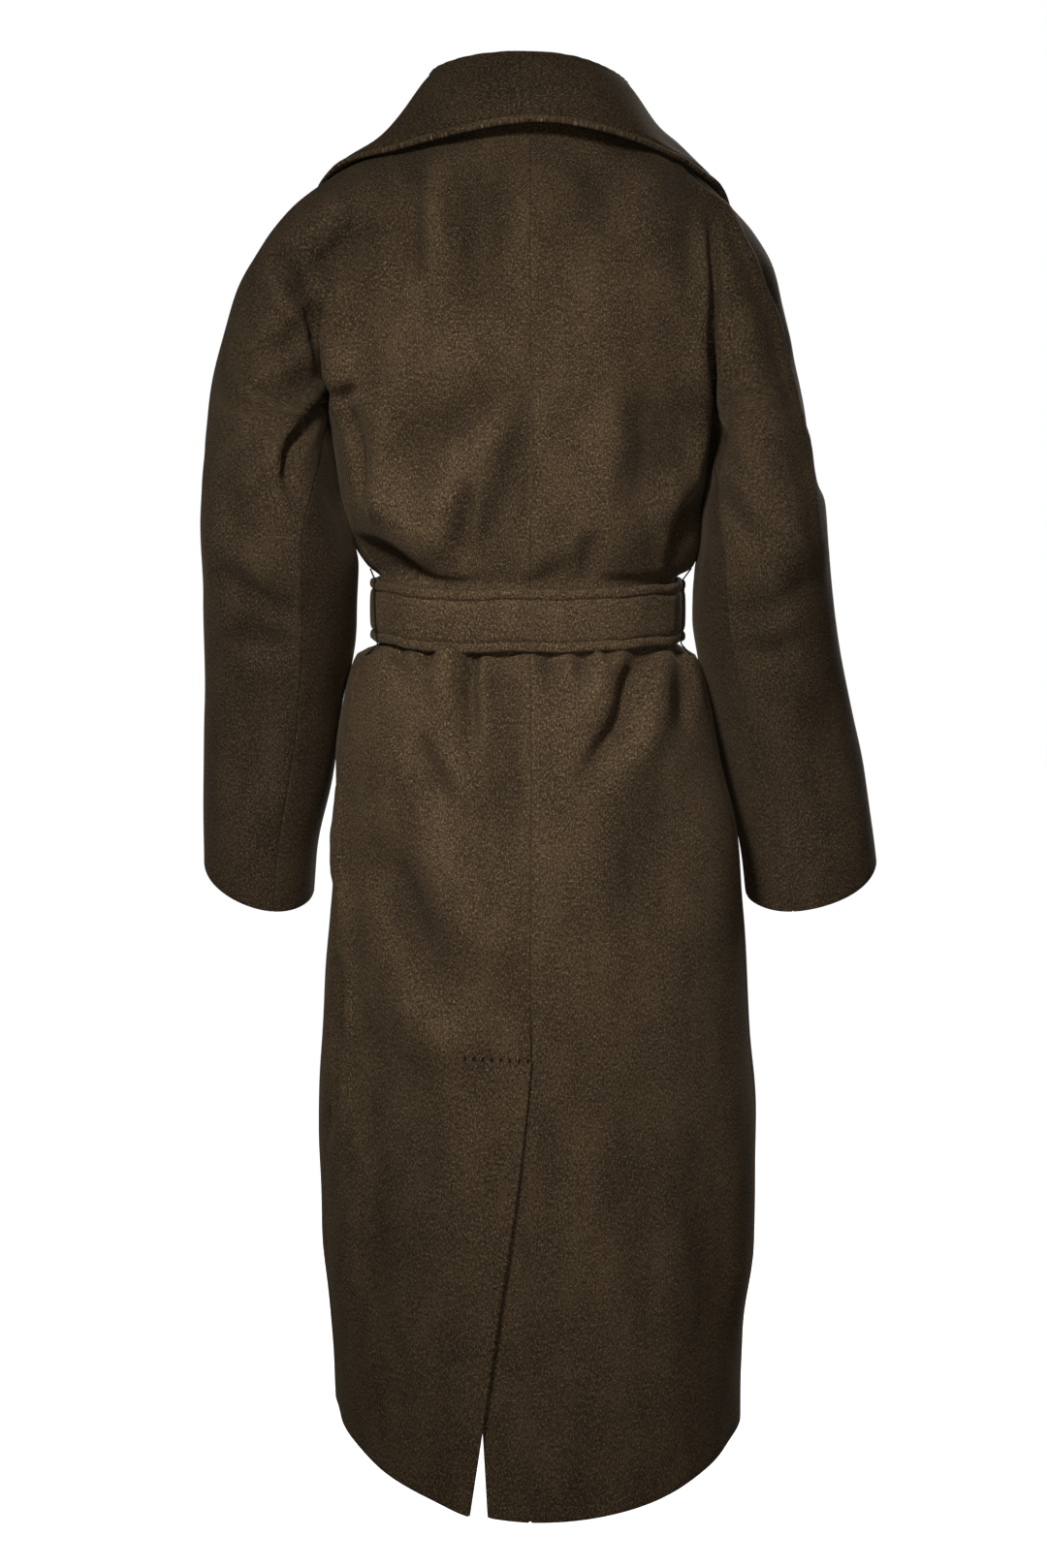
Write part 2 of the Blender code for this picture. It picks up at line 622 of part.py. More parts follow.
def under_sleeve(side, back, front):
    """Wedge under the arm; its tip reaches over the armpit to the top of the side seam."""
    sheet = Sheet("under_sleeve_" + side, side == "left")
    ends = [panel.points[panel.rows["armpit"][0]] for panel in (back, front)]
    share = np.linspace(0, 1, UNDER_COLUMNS + 1)[:, None]
    tip = sheet.add(back.points[back.rows["gusset"]][None])
    rows = [ends[0] + (ends[1] - ends[0]) * share]
    for z in SLEEVE_Z[1:]:
        turn = np.radians(SLEEVE_AT[side]("under", z))
        rows.append(sleeve_row(side, np.linspace(turn, 2 * np.pi - turn, UNDER_COLUMNS + 1), z))
    grid = sheet.add(np.array(rows), sleeve=True)
    sheet.rows = {"armpit": grid[0]}
    sheet.loft(grid)
    for j in range(UNDER_COLUMNS):
        sheet.face(tip[0], grid[0, j + 1], grid[0, j])
    sheet.seam(tip, [grid[0, UNDER_COLUMNS // 2]], GUSSET_BACK)
    sheet.seam(grid[:2, 0], grid[:2, 1], GUSSET_GAP)
    sheet.seam(grid[:2, -1], grid[:2, -2], GUSSET_GAP)
    sheet.seam(grid[2:, 0], grid[2:, 1])
    sheet.seam(grid[2:, -1], grid[2:, -2])
    return sheet


def shared_normals(sheets):
    """Outward normals at the points of all panels, shared where panels meet at a seam."""
    total = {}
    places = [[tuple(place) for place in np.round(sheet.points, 6)] for sheet in sheets]
    for sheet, place in zip(sheets, places):
        for face in sheet.faces:
            a, b, c, d = (sheet.points[corner] for corner in (face + face[-1:])[:4])
            normal = np.cross(c - a, d - b)
            for corner in face:
                total[place[corner]] = total.get(place[corner], 0) + normal
    normals = [unit(np.array([total[point] for point in place])) for place in places]
    for sheet, normal in zip(sheets, normals):
        normal[sheet.rows.get("armpit", [])] = (0, 0, -1)
    return normals


def fold_height(sheet):
    """Height of the table's folds at points: soft ridges and troughs that fade at both ends."""
    x, y, z = sheet.points.T
    height = np.zeros(len(x))
    parts = {"sleeve": sheet.sleeve, "body": ~sheet.sleeve}
    for fold in FOLDS:
        line = np.array([fold.x_low - fold.x_top, fold.z_low - fold.z_top])
        way = np.stack([x - fold.x_top, z - fold.z_top], -1)
        share = np.clip(way @ line / (line @ line), FADE_IN[0], FADE_OUT[0])
        off = np.linalg.norm(way - share[:, None] * line, axis=1)
        ends = ease(share, *FADE_IN) * ease(share, *FADE_OUT)
        on_face = ease(FACES[fold.face] * y, *FADE_SIDE)
        height += parts[fold.part] * fold.height * np.exp(-(off / fold.width) ** 2) * ends * on_face
    unbelted = ease(np.abs(z - BELT_Z), BELT_WIDTH / 2, BELT_WIDTH / 2 + FOLD_EASE)
    return height * unbelted


def lap_height(name, points):
    """How far a panel is lifted where it laps over another."""
    x, _, z = points.T
    if name == "back_left":
        under = VENT_AT("under", z)
        lapped = ease(x, under + LAP_EASE, under + LAP_SPARE)
        return LAP * lapped * ease(z, VENT_Z + LAP_EASE, VENT_Z + LAP_SPARE)
    if name == "front_right":
        edge = EDGE_AT("left", z)
        seam = body_point("right", np.radians(SEAM_AT("right", z)), z)[:, 0]
        lapped = ease(x, np.maximum(edge - LAP_EASE, seam), edge - LAP_SPARE / 2)
        off = ((x - CROSSING[0]) ** 2 + (z - CROSSING[1]) ** 2) / CROSSING_REACH ** 2
        return lapped * (FRONT_LAP + CROSSING_LIFT * np.exp(-off))
    return np.zeros(len(points))


def make_panels():
    """All panels of the shell with their folds and laps."""
    halves = {(side, face): half_panel(side, face) for side in SIDES for face in FACES}
    unders = [under_sleeve(side, halves[side, "back"], halves[side, "front"]) for side in SIDES]
    sheets = list(halves.values()) + unders
    for sheet, normals in zip(sheets, shared_normals(sheets)):
        height = fold_height(sheet) + lap_height(sheet.name, sheet.points)
        sheet.points = sheet.points + normals * height[:, None]
    return sheets


def new_material(name, colour, rough):
    material = bpy.data.materials.new(name)
    material.use_nodes = True
    shader = material.node_tree.nodes["Principled BSDF"]
    shader.inputs["Base Color"].default_value = colour
    shader.inputs["Roughness"].default_value = rough
    return material


def add_mesh(name, points, faces, material):
    mesh = bpy.data.meshes.new(name)
    mesh.from_pydata([tuple(point) for point in points], [], [[int(c) for c in face] for face in faces])
    mesh.materials.append(material)
    part = bpy.data.objects.new(name, mesh)
    bpy.data.collections[NAME].objects.link(part)
    return part


def add_wall(name, outer, normals, faces, wall, material):
    """Closed wall: an outer face, the same face moved in, and a rim round every open edge."""
    count = len(outer)
    points = np.concatenate([outer, outer - normals * wall])
    inner = [tuple(corner + count for corner in reversed(face)) for face in faces]
    edges = {(face[i - 1], face[i]) for face in faces for i in range(len(face))}
    rim = [(b, a, a + count, b + count) for a, b in sorted(edges) if (b, a) not in edges]
    return add_mesh(name, points, list(faces) + inner + rim, material)


def grid_faces(rows, columns, turned=False):
    """Faces of a grid of points numbered row by row."""
    sheet = Sheet("", turned)
    sheet.loft(np.arange(rows * columns).reshape(rows, columns))
    return sheet.faces


def grid_normals(grid, turned):
    """Normals of a single grid of points."""
    sheet = Sheet("", turned)
    sheet.loft(sheet.add(grid))
    return shared_normals([sheet])[0].reshape(grid.shape)


def bezier(a, b, c, d, count):
    """Points that divide a cubic curve into a number of steps."""
    share = np.linspace(0, 1, count + 1)[:, None]
    rest = 1 - share
    return a * rest ** 3 + 3 * b * rest ** 2 * share + 3 * c * rest * share ** 2 + d * share ** 3


def tree_of(sheets):
    """Search tree of several panels' outer faces."""
    points, faces = [], []
    for sheet in sheets:
        faces.extend(tuple(int(corner) + len(points) for corner in face) for face in sheet.faces)
        points.extend(tuple(point) for point in sheet.points)
    return BVHTree.FromPolygons(points, faces)


def lay_over(grid, tree, clear):
    """Move points out of the panels until they lie a clear distance over them."""
    laid = grid.copy()
    for index in np.ndindex(grid.shape[:-1]):
        point = Vector(grid[index])
        nearest, normal, _, _ = tree.find_nearest(point)
        if (point - nearest).dot(normal) < clear:
            laid[index] = nearest + normal * clear
    return laid


def neck_path(back, front):
    """Neck edge from the centre back and on down the front edge, with two directions at each point:
    the one in which the collar leaves the panels, and the one that points out of the coat."""
    above_belt = front.points[front.rows["edge"], 2] > BELT_TOP
    edge, beside = front.rows["edge"][above_belt], front.rows["beside"][above_belt]
    neck = np.concatenate([back.points[back.rows["top"]], front.points[front.rows["top"][:0:-1]]])
    line = np.concatenate([neck, front.points[edge]])
    up = np.tile([0.0, 0.0, 1.0], (len(neck), 1))
    leave = np.concatenate([up, unit(front.points[edge] - front.points[beside])])
    level = unit(neck * [1, 1, 0])
    out = np.concatenate([level, front.normals[edge]])
    return line, leave, out, len(neck)


def smoothed_along(values, steps, along):
    """Directions along a line, each the mean over a stretch to either side."""
    stretch = np.linspace(-TURN_REACH, TURN_REACH, TURN_STEPS)
    columns = [np.mean([np.interp(along + s, steps, column) for s in stretch], 0) for column in values.T]
    return unit(np.stack(columns, -1))


def collar_section(base, up, away, edge, stand, lean):
    """One section of the collar: up the stand, over the roll and down the fall to its edge."""
    base = base + up * SEAM_GAP
    top = base + up * stand + away * lean
    over = away * lean * ROLL
    rise = bezier(base, base + up * stand * STAND_UPRIGHT, top - over, top, STAND_COLUMNS)
    hang = edge + (top - edge) * FALL_HANG + away * FALL_SWELL
    fall = bezier(top, top + over, hang, edge, FALL_COLUMNS)
    return np.concatenate([rise, fall[1:]])


def collar_half(side, panels):
    """Sections of one half of the collar, from the centre back to the end of the lapel."""
    line, leave, out, corner = neck_path(panels["back_" + side], panels["front_" + side])
    steps = lengths(line)
    along = np.append(np.linspace(0, steps[corner], NECK_STEPS, endpoint=False), steps[corner:])
    along = along[along <= COLLAR[side][-1].along]
    at = COLLAR_AT[side]
    edge = np.stack([SIDES[side] * at("x", along), at("y", along), at("z", along)], -1)
    ways = smoothed_along(leave, steps, along), smoothed_along(out, steps, along)
    sections = zip(points_at(line, along), *ways, edge, at("stand", along), at("lean", along))
    return np.array([collar_section(*section) for section in sections])


def smooth_sections(grid, columns):
    """Draw each section of the collar towards the mean of its neighbours."""
    grid[1:-1, columns] = (grid[:-2, columns] + 2 * grid[1:-1, columns] + grid[2:, columns]) / 4


def collar_grid(panels):
    """Sections of the whole collar, from the left lapel to the right one, laid over the panels."""
    left, right = collar_half("left", panels), collar_half("right", panels)
    grid = np.concatenate([left[:0:-1], (left[:1] + right[:1]) / 2, right[1:]])
    backs = [panels["back_left"], panels["back_right"]]
    trees = {side: tree_of(backs + [panels["front_" + side]]) for side in SIDES}

    def laid(points, clear):
        parts = np.split(points, [len(left)])
        return np.concatenate([lay_over(part, trees[side], clear) for part, side in zip(parts, SIDES)])

    fall = slice(STAND_COLUMNS + 1, None)
    for _ in range(SETTLE_ROUNDS):
        grid[:, fall] = laid(grid[:, fall], COLLAR_WALL + COLLAR_AIR)
        smooth_sections(grid, fall)
    grid[:, fall] = laid(grid[:, fall], COLLAR_WALL + COLLAR_AIR)
    for _ in range(SETTLE_ROUNDS):
        under = grid - grid_normals(grid, False) * COLLAR_WALL
        grid = grid + laid(under, LAP_AIR) - under
    return grid


def make_collar(panels, material):
    """Turned-down collar running on into both lapels."""
    grid = collar_grid(panels)
    normals = grid_normals(grid, False)
    faces = grid_faces(*grid.shape[:2])
    add_wall("collar", grid.reshape(-1, 3), normals.reshape(-1, 3), faces, COLLAR_WALL, material)


def belt_base(angle):
    """Points of the cloth under the middle of the belt, and the way out from them."""
    points = body_point("left", angle, BELT_Z)
    along = np.roll(points, -1, 0) - np.roll(points, 1, 0)
    out = unit(np.stack([along[:, 1], -along[:, 0], 0 * angle], -1))
    out *= np.sign(np.sum(out * points, 1))[:, None]
    x, y, _ = points.T
    left, right = EDGE_AT("left", BELT_Z), -EDGE_AT("right", BELT_Z)
    lapped = ease(x, left - LAP_EASE, left - LAP_SPARE) * ease(x, right + LAP_EASE, right + LAP_SPARE)
    return points + out * (FRONT_LAP * lapped * (y < 0))[:, None], out


def make_belt(material):
    """Belt round the waist, with a stitched groove near each edge."""
    points, out = belt_base(np.linspace(0, 2 * np.pi, BELT_SIDES, endpoint=False))
    widest = [BODY_AT(side, z) - BODY_AT(side, BELT_Z) for side in SIDES for z in (BELT_TOP, BELT_LOW)]
    flare = max(widest) + LAP_AIR
    rings = []
    for corner in BELT_SECTION:
        away = flare + corner.thick * BELT_THICK
        rings.append(points + out * away + [0, 0, corner.wide * BELT_WIDTH])
    count = len(BELT_SECTION)
    faces = []
    for i in range(BELT_SIDES):
        ring, following = i * count, (i + 1) % BELT_SIDES * count
        for j in range(count):
            k = (j + 1) % count
            faces.append((ring + j, ring + k, following + k, following + j))
    add_mesh("belt", np.stack(rings, 1).reshape(-1, 3), faces, material)
    front = points[np.argmin(points[:, 1])]
    return front[1] - flare - BELT_THICK


def make_knot(belt_face, material):
    """Plain rounded knot over the belt."""
    body = bmesh.new()
    bmesh.ops.create_uvsphere(body, u_segments=KNOT_SEGMENTS, v_segments=KNOT_RINGS, radius=1.0)
    for vertex in body.verts:
        shaped = signed_power(np.array(vertex.co), KNOT_ROUND) * KNOT_HALF
        vertex.co = shaped + [KNOT_X, belt_face - SEAM_GAP - KNOT_HALF[1], BELT_Z]
    mesh = bpy.data.meshes.new("belt_knot")
    body.to_mesh(mesh)
    body.free()
    mesh.materials.append(material)
    bpy.data.collections[NAME].objects.link(bpy.data.objects.new("belt_knot", mesh))


def make_tail(tail, panels, material):
    """Belt end hanging from the knot down the front."""
    tree = tree_of([panels["front_left"], panels["front_right"]])
    reach = np.linspace(0, 1, TAIL_ROWS + 1)
    middle = tail.x_top + (tail.x_low - tail.x_top) * reach
    across = np.linspace(-BELT_WIDTH / 2, BELT_WIDTH / 2, TAIL_COLUMNS + 1)
    level = BELT_LOW - SEAM_GAP - reach * tail.length
    near = np.linspace(-1, 1, TAIL_PROBES) * tail.length / TAIL_ROWS
    rows = []
    lie = 0.0
    for x, z in zip(middle, level):
        probes = [Vector((x + step, -1, z + rise)) for step in across for rise in near]
        hits = [tree.ray_cast(probe, Vector((0, 1, 0)))[0].y for probe in probes]
        lie = min(lie, min(hits) - LAP_AIR - BELT_THICK)
        rows.append([(x + step, lie, z) for step in across])
    grid = np.array(rows)
    out = np.tile([0.0, -1.0, 0.0], (grid[..., 0].size, 1))
    faces = grid_faces(*grid.shape[:2], turned=True)
    add_wall(tail.name, grid.reshape(-1, 3), out, faces, BELT_THICK, material)


def make_carrier(side, material):
    """Thread loop that holds the belt at a side seam."""
    share = np.linspace(0, 1, CARRIER_POINTS)
    z = BELT_TOP + CARRIER_REACH - share * (BELT_WIDTH + 2 * CARRIER_REACH)
    points = body_point(side, np.radians(SEAM_AT(side, z)), z)
    bow = SEAM_GAP + CARRIER_RADIUS + CARRIER_BOW * np.sin(np.pi * share) ** CARRIER_ROUND
    points = points + unit(points * [1, 1, 0]) * bow[:, None]
    curve = bpy.data.curves.new("belt_carrier_" + side, "CURVE")
    curve.dimensions = "3D"
    curve.bevel_depth = CARRIER_RADIUS
    curve.bevel_resolution = 1
    curve.use_fill_caps = True
    spline = curve.splines.new("POLY")
    spline.points.add(CARRIER_POINTS - 1)
    for place, point in zip(spline.points, points):
        place.co = (*point, 1.0)
    curve.materials.append(material)
    bpy.data.collections[NAME].objects.link(bpy.data.objects.new(curve.name, curve))


def build():
    for old in list(bpy.data.objects):
        bpy.data.objects.remove(old)
    bpy.context.scene.collection.children.link(bpy.data.collections.new(NAME))
    cloth = new_material("brushed_wool", CLOTH_COLOUR, CLOTH_ROUGH)
    thread = new_material("thread", THREAD_COLOUR, THREAD_ROUGH)
    panels = {sheet.name: sheet for sheet in make_panels()}
    for sheet, normals in zip(panels.values(), shared_normals(panels.values())):
        sheet.normals = normals
        add_wall(sheet.name, sheet.drawn_back(), normals, sheet.faces, WALL, cloth)
    make_collar(panels, cloth)
    belt_face = make_belt(cloth)
    make_knot(belt_face, cloth)
    for tail in TAILS:
        make_tail(tail, panels, cloth)
    for side in SIDES:
        make_carrier(side, thread)


build()
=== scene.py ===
"""Looks of the long belted wrap coat: brushed wool panels with their folds, collar, belt and stitching.

Metres, +Z up, the front faces -Y and the wearer's left is +X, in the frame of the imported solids. The
panels follow the same level sections as the solids, more finely divided, with all their folds.
"""

from collections import namedtuple

import bpy
import numpy as np
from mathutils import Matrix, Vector
from mathutils.bvhtree import BVHTree


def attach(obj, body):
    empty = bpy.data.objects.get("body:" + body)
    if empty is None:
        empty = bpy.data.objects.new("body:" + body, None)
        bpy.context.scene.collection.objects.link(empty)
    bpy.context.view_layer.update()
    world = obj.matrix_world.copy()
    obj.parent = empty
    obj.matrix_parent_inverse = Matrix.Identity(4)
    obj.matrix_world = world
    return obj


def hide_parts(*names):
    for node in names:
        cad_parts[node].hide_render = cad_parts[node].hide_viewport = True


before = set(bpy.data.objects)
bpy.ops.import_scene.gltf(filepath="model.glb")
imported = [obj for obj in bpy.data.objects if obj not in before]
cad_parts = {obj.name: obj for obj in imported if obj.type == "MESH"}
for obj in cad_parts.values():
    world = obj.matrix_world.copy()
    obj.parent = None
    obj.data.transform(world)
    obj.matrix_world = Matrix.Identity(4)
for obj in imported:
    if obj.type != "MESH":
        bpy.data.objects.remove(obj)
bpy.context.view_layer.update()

# Cloth and seams: walls, the seams' gap and groove, air between layers, how a panel is lifted over the one
# beneath, the steps round a free edge, how far a rounded corner reaches in shares of its softness, and the
# digits in which points that meet agree
WALL = 0.003
COLLAR_WALL = 0.004
SEAM_GAP = 0.0003
SEAM_SINK = 0.0011
SEAM_SIDE = 0.45
SEAM_COLUMNS = np.array((0.0009, 0.0026))
SEAM_CROWD = np.array((0.3, 0.65))
LAP_AIR = 0.0008
COLLAR_AIR = 0.0034
LAP = WALL + LAP_AIR
FRONT_LAP = WALL + 2 * LAP_AIR
LAP_SPARE = 0.010
VENT_LIFT = 0.005
VENT_LIFT_Z = (-0.76, -0.92)
LAP_EASE = 0.040
FOLD_EASE = 0.007
RIM_STEPS = 3
EDGE_INSET = 3
TIP_CROWD = 0.02
SOFT_REACH = 4
SOFT_FADE = 3
MEET_DIGITS = 6
TINY = 1e-12

# Levels, down from the nape
ARMPIT_Z = -0.245
GUSSET_Z = ARMPIT_Z - 0.012
BELT_Z = -0.404
BELT_WIDTH = 0.050
BELT_THICK = 0.006
BELT_TOP = BELT_Z + BELT_WIDTH / 2
BELT_LOW = BELT_Z - BELT_WIDTH / 2
BELT_FLARE = 0.008
SHOULDER_Z = -0.110
HIP_Z = -0.600
VENT_Z = -0.752
VENT_ROW_Z = VENT_Z + 0.020
HEM_Z = -1.074
BACK_HEM_DROP = 0.050
BACK_HEM_CURVE = 1.5
LEFT_HEM_RISE = 0.012
CUFF_Z = -0.630
CUFF_BACK_DROP = 0.020
CUFF_SIDE_RISE = 0.014

# How finely the pieces are divided
NECK_ROWS = 28
BLADE_ROWS = 36
RIB_ROWS = 34
FLARE_ROWS = 4
HIP_ROWS = 42
SKIRT_ROWS = 38
VENT_ROWS = 76
SLEEVE_ROWS = 92
BODY_COLUMNS = 62
SLEEVE_COLUMNS = 34
OUTER_COLUMNS = 20
OUTER_TURN = np.radians(72)
UNDERLAP_COLUMNS = 16
UNDER_COLUMNS = 24
STAND_COLUMNS = 4
FALL_COLUMNS = 7
COLLAR_STEP = 0.012
COLLAR_FINER = 4
EDGE_COLUMNS = np.linspace(0.013, 0, 15)
BELT_SIDES = 320
BELT_FINER = 4
TAIL_ROWS = 70
TAIL_PROBES = 9
KNOT_SEGMENTS = 72
KNOT_RINGS = 48
FINE = 160
FINE_STEP = 0.001
BISECTIONS = 40

# Body sections: half widths to either side, depth behind and before the origin, squareness
Body = namedtuple("Body", "z left right back front square")
BODY = (
    Body(0.000, 0.074, 0.074, 0.058, 0.052, 2.0),
    Body(-0.030, 0.108, 0.104, 0.080, 0.074, 2.1),
    Body(-0.060, 0.145, 0.139, 0.095, 0.092, 2.2),
    Body(-0.100, 0.180, 0.177, 0.107, 0.112, 2.3),
    Body(-0.150, 0.188, 0.185, 0.115, 0.126, 2.3),
    Body(-0.200, 0.179, 0.167, 0.118, 0.133, 2.3),
    Body(-0.245, 0.1655, 0.1480, 0.118, 0.133, 2.3),
    Body(-0.270, 0.1620, 0.1460, 0.117, 0.131, 2.3),
    Body(-0.310, 0.157, 0.143, 0.115, 0.127, 2.3),
    Body(-0.345, 0.147, 0.1400, 0.110, 0.120, 2.3),
    Body(-0.368, 0.133, 0.1325, 0.102, 0.108, 2.2),
    Body(-0.378, 0.1225, 0.1190, 0.095, 0.100, 2.2),
    Body(-0.404, 0.1190, 0.1150, 0.093, 0.098, 2.2),
    Body(-0.430, 0.1225, 0.1185, 0.096, 0.101, 2.2),
    Body(-0.442, 0.143, 0.1360, 0.105, 0.109, 2.2),
    Body(-0.485, 0.155, 0.149, 0.121, 0.121, 2.2),
    Body(-0.525, 0.160, 0.157, 0.131, 0.128, 2.2),
    Body(-0.589, 0.162, 0.170, 0.141, 0.136, 2.2),
    Body(-0.653, 0.165, 0.175, 0.147, 0.142, 2.2),
    Body(-0.749, 0.171, 0.182, 0.153, 0.150, 2.2),
    Body(-0.845, 0.175, 0.187, 0.158, 0.156, 2.2),
    Body(-0.930, 0.171, 0.185, 0.162, 0.159, 2.2),
    Body(-1.010, 0.165, 0.177, 0.165, 0.161, 2.2),
    Body(-1.080, 0.161, 0.175, 0.167, 0.162, 2.2),
    Body(-1.150, 0.159, 0.174, 0.168, 0.163, 2.2),
)

# Sleeve sections: outer and inner edge from the middle of the coat, middle and half depth fore and
# aft, and the angle of the back seam of the under sleeve, from the outer edge round the back
Sleeve = namedtuple("Sleeve", "z outer inner mid depth under")
SLEEVE = {
    "left": (
        Sleeve(0.000, 0.078, 0.048, 0.000, 0.018, 180),
        Sleeve(-0.030, 0.124, 0.064, 0.000, 0.042, 180),
        Sleeve(-0.051, 0.160, 0.080, 0.000, 0.056, 180),
        Sleeve(-0.077, 0.195, 0.094, 0.000, 0.068, 180),
        Sleeve(-0.109, 0.220, 0.114, 0.000, 0.077, 180),
        Sleeve(-0.141, 0.238, 0.132, 0.000, 0.084, 180),
        Sleeve(-0.173, 0.248, 0.145, 0.000, 0.088, 180),
        Sleeve(-0.221, 0.259, 0.160, 0.002, 0.091, 180),
        Sleeve(-0.245, 0.263, 0.1653, 0.006, 0.092, 178),
        Sleeve(-0.270, 0.266, 0.1575, 0.014, 0.091, 150),
        Sleeve(-0.310, 0.267, 0.1510, 0.024, 0.089, 124),
        Sleeve(-0.345, 0.267, 0.1445, 0.026, 0.087, 113),
        Sleeve(-0.368, 0.267, 0.1405, 0.022, 0.085, 110),
        Sleeve(-0.410, 0.268, 0.1420, 0.006, 0.082, 111),
        Sleeve(-0.445, 0.269, 0.1462, -0.010, 0.079, 113),
        Sleeve(-0.485, 0.270, 0.1556, -0.025, 0.076, 115),
        Sleeve(-0.541, 0.272, 0.1650, -0.040, 0.071, 113),
        Sleeve(-0.605, 0.274, 0.1775, -0.052, 0.066, 111),
        Sleeve(-0.660, 0.274, 0.1840, -0.062, 0.062, 110),
    ),
    "right": (
        Sleeve(0.000, 0.078, 0.048, 0.000, 0.018, 180),
        Sleeve(-0.030, 0.112, 0.060, 0.000, 0.042, 180),
        Sleeve(-0.060, 0.147, 0.068, 0.000, 0.060, 180),
        Sleeve(-0.077, 0.165, 0.074, 0.000, 0.068, 180),
        Sleeve(-0.096, 0.182, 0.086, 0.000, 0.074, 180),
        Sleeve(-0.125, 0.199, 0.105, 0.000, 0.081, 180),
        Sleeve(-0.157, 0.208, 0.118, 0.000, 0.086, 180),
        Sleeve(-0.205, 0.217, 0.136, 0.001, 0.090, 180),
        Sleeve(-0.245, 0.225, 0.1478, 0.006, 0.092, 178),
        Sleeve(-0.270, 0.229, 0.1427, 0.014, 0.091, 168),
        Sleeve(-0.310, 0.234, 0.1392, 0.024, 0.089, 146),
        Sleeve(-0.345, 0.239, 0.1382, 0.026, 0.087, 132),
        Sleeve(-0.368, 0.242, 0.1345, 0.022, 0.085, 127),
        Sleeve(-0.410, 0.250, 0.1325, 0.006, 0.082, 122),
        Sleeve(-0.445, 0.257, 0.1382, -0.010, 0.079, 120),
        Sleeve(-0.485, 0.266, 0.1482, -0.025, 0.076, 118),
        Sleeve(-0.541, 0.278, 0.1600, -0.040, 0.071, 116),
        Sleeve(-0.605, 0.290, 0.1752, -0.052, 0.066, 114),
        Sleeve(-0.660, 0.296, 0.1840, -0.062, 0.062, 112),
    ),
}
SLEEVE_ROUND = 0.070

# Angle of each side seam, from the centre back
Seam = namedtuple("Seam", "z left right")
SIDE_SEAM = (
    Seam(-0.245, 90, 90),
    Seam(-0.270, 88, 89),
    Seam(-0.368, 78, 82),
    Seam(-0.445, 72, 77),
    Seam(-0.560, 70, 76),
    Seam(-0.660, 65, 78),
    Seam(-0.760, 66, 80),
    Seam(-0.850, 72, 82),
    Seam(-1.150, 78, 84),
)

# Front edge of each half front, to its own side of the middle; past the middle it is negative
Edge = namedtuple("Edge", "z across")
FRONT_EDGE = (
    Edge(0.000, 0.064),
    Edge(-0.030, 0.067),
    Edge(-0.060, 0.064),
    Edge(-0.120, 0.046),
    Edge(-0.180, 0.024),
    Edge(-0.240, -0.002),
    Edge(-0.300, -0.036),
    Edge(-0.360, -0.076),
    Edge(-0.410, -0.092),
    Edge(-0.500, -0.096),
    Edge(-1.150, -0.100),
)

# Edges of the vent, from the middle to the wearer's left: the upper edge and the underlap beneath it. Its
# head is 20 mm higher than in the solids.
Vent = namedtuple("Vent", "z upper under")
VENT = (
    Vent(-0.752, 0.000, 0.056),
    Vent(-0.840, 0.009, 0.052),
    Vent(-0.960, 0.026, 0.044),
    Vent(-1.150, 0.052, 0.032),
)

# How softly the crease between body and sleeve is rounded
Crease = namedtuple("Crease", "z soft")
CREASE = (
    Crease(0.000, 0.030),
    Crease(-0.060, 0.022),
    Crease(-0.090, 0.010),
    Crease(-0.120, 0.005),
    Crease(-0.150, 0.0035),
    Crease(-0.200, 0.0025),
    Crease(-0.245, 0.0010),
)

# Folds: the line of each, how far its middle is bent towards the wearer's left, how wide it is, how
# high (troughs below 0), and how much softer its left side is. Each fades in and out over these shares
# of its length, and round the side over these distances from the middle of the depth. It has a low
# shoulder to either side, a share of its height, so far away and so wide in shares of its width.
FADE_IN = (-0.2, 0.25)
FADE_OUT = (1.2, 0.6)
FADE_SIDE = (-0.01, 0.04)
SHOULDER = 0.22
SHOULDER_AWAY = 2.1
SHOULDER_WIDE = 1.3
Fold = namedtuple("Fold", "part face x_top z_top x_low z_low bend width height lean")


def folds(part, face, *rows):
    """Folds on one face, from rows in the order of Fold: millimetres, and the lean as a share."""
    return [Fold(part, face, *np.divide(row[:-1], 1000), row[-1]) for row in rows]


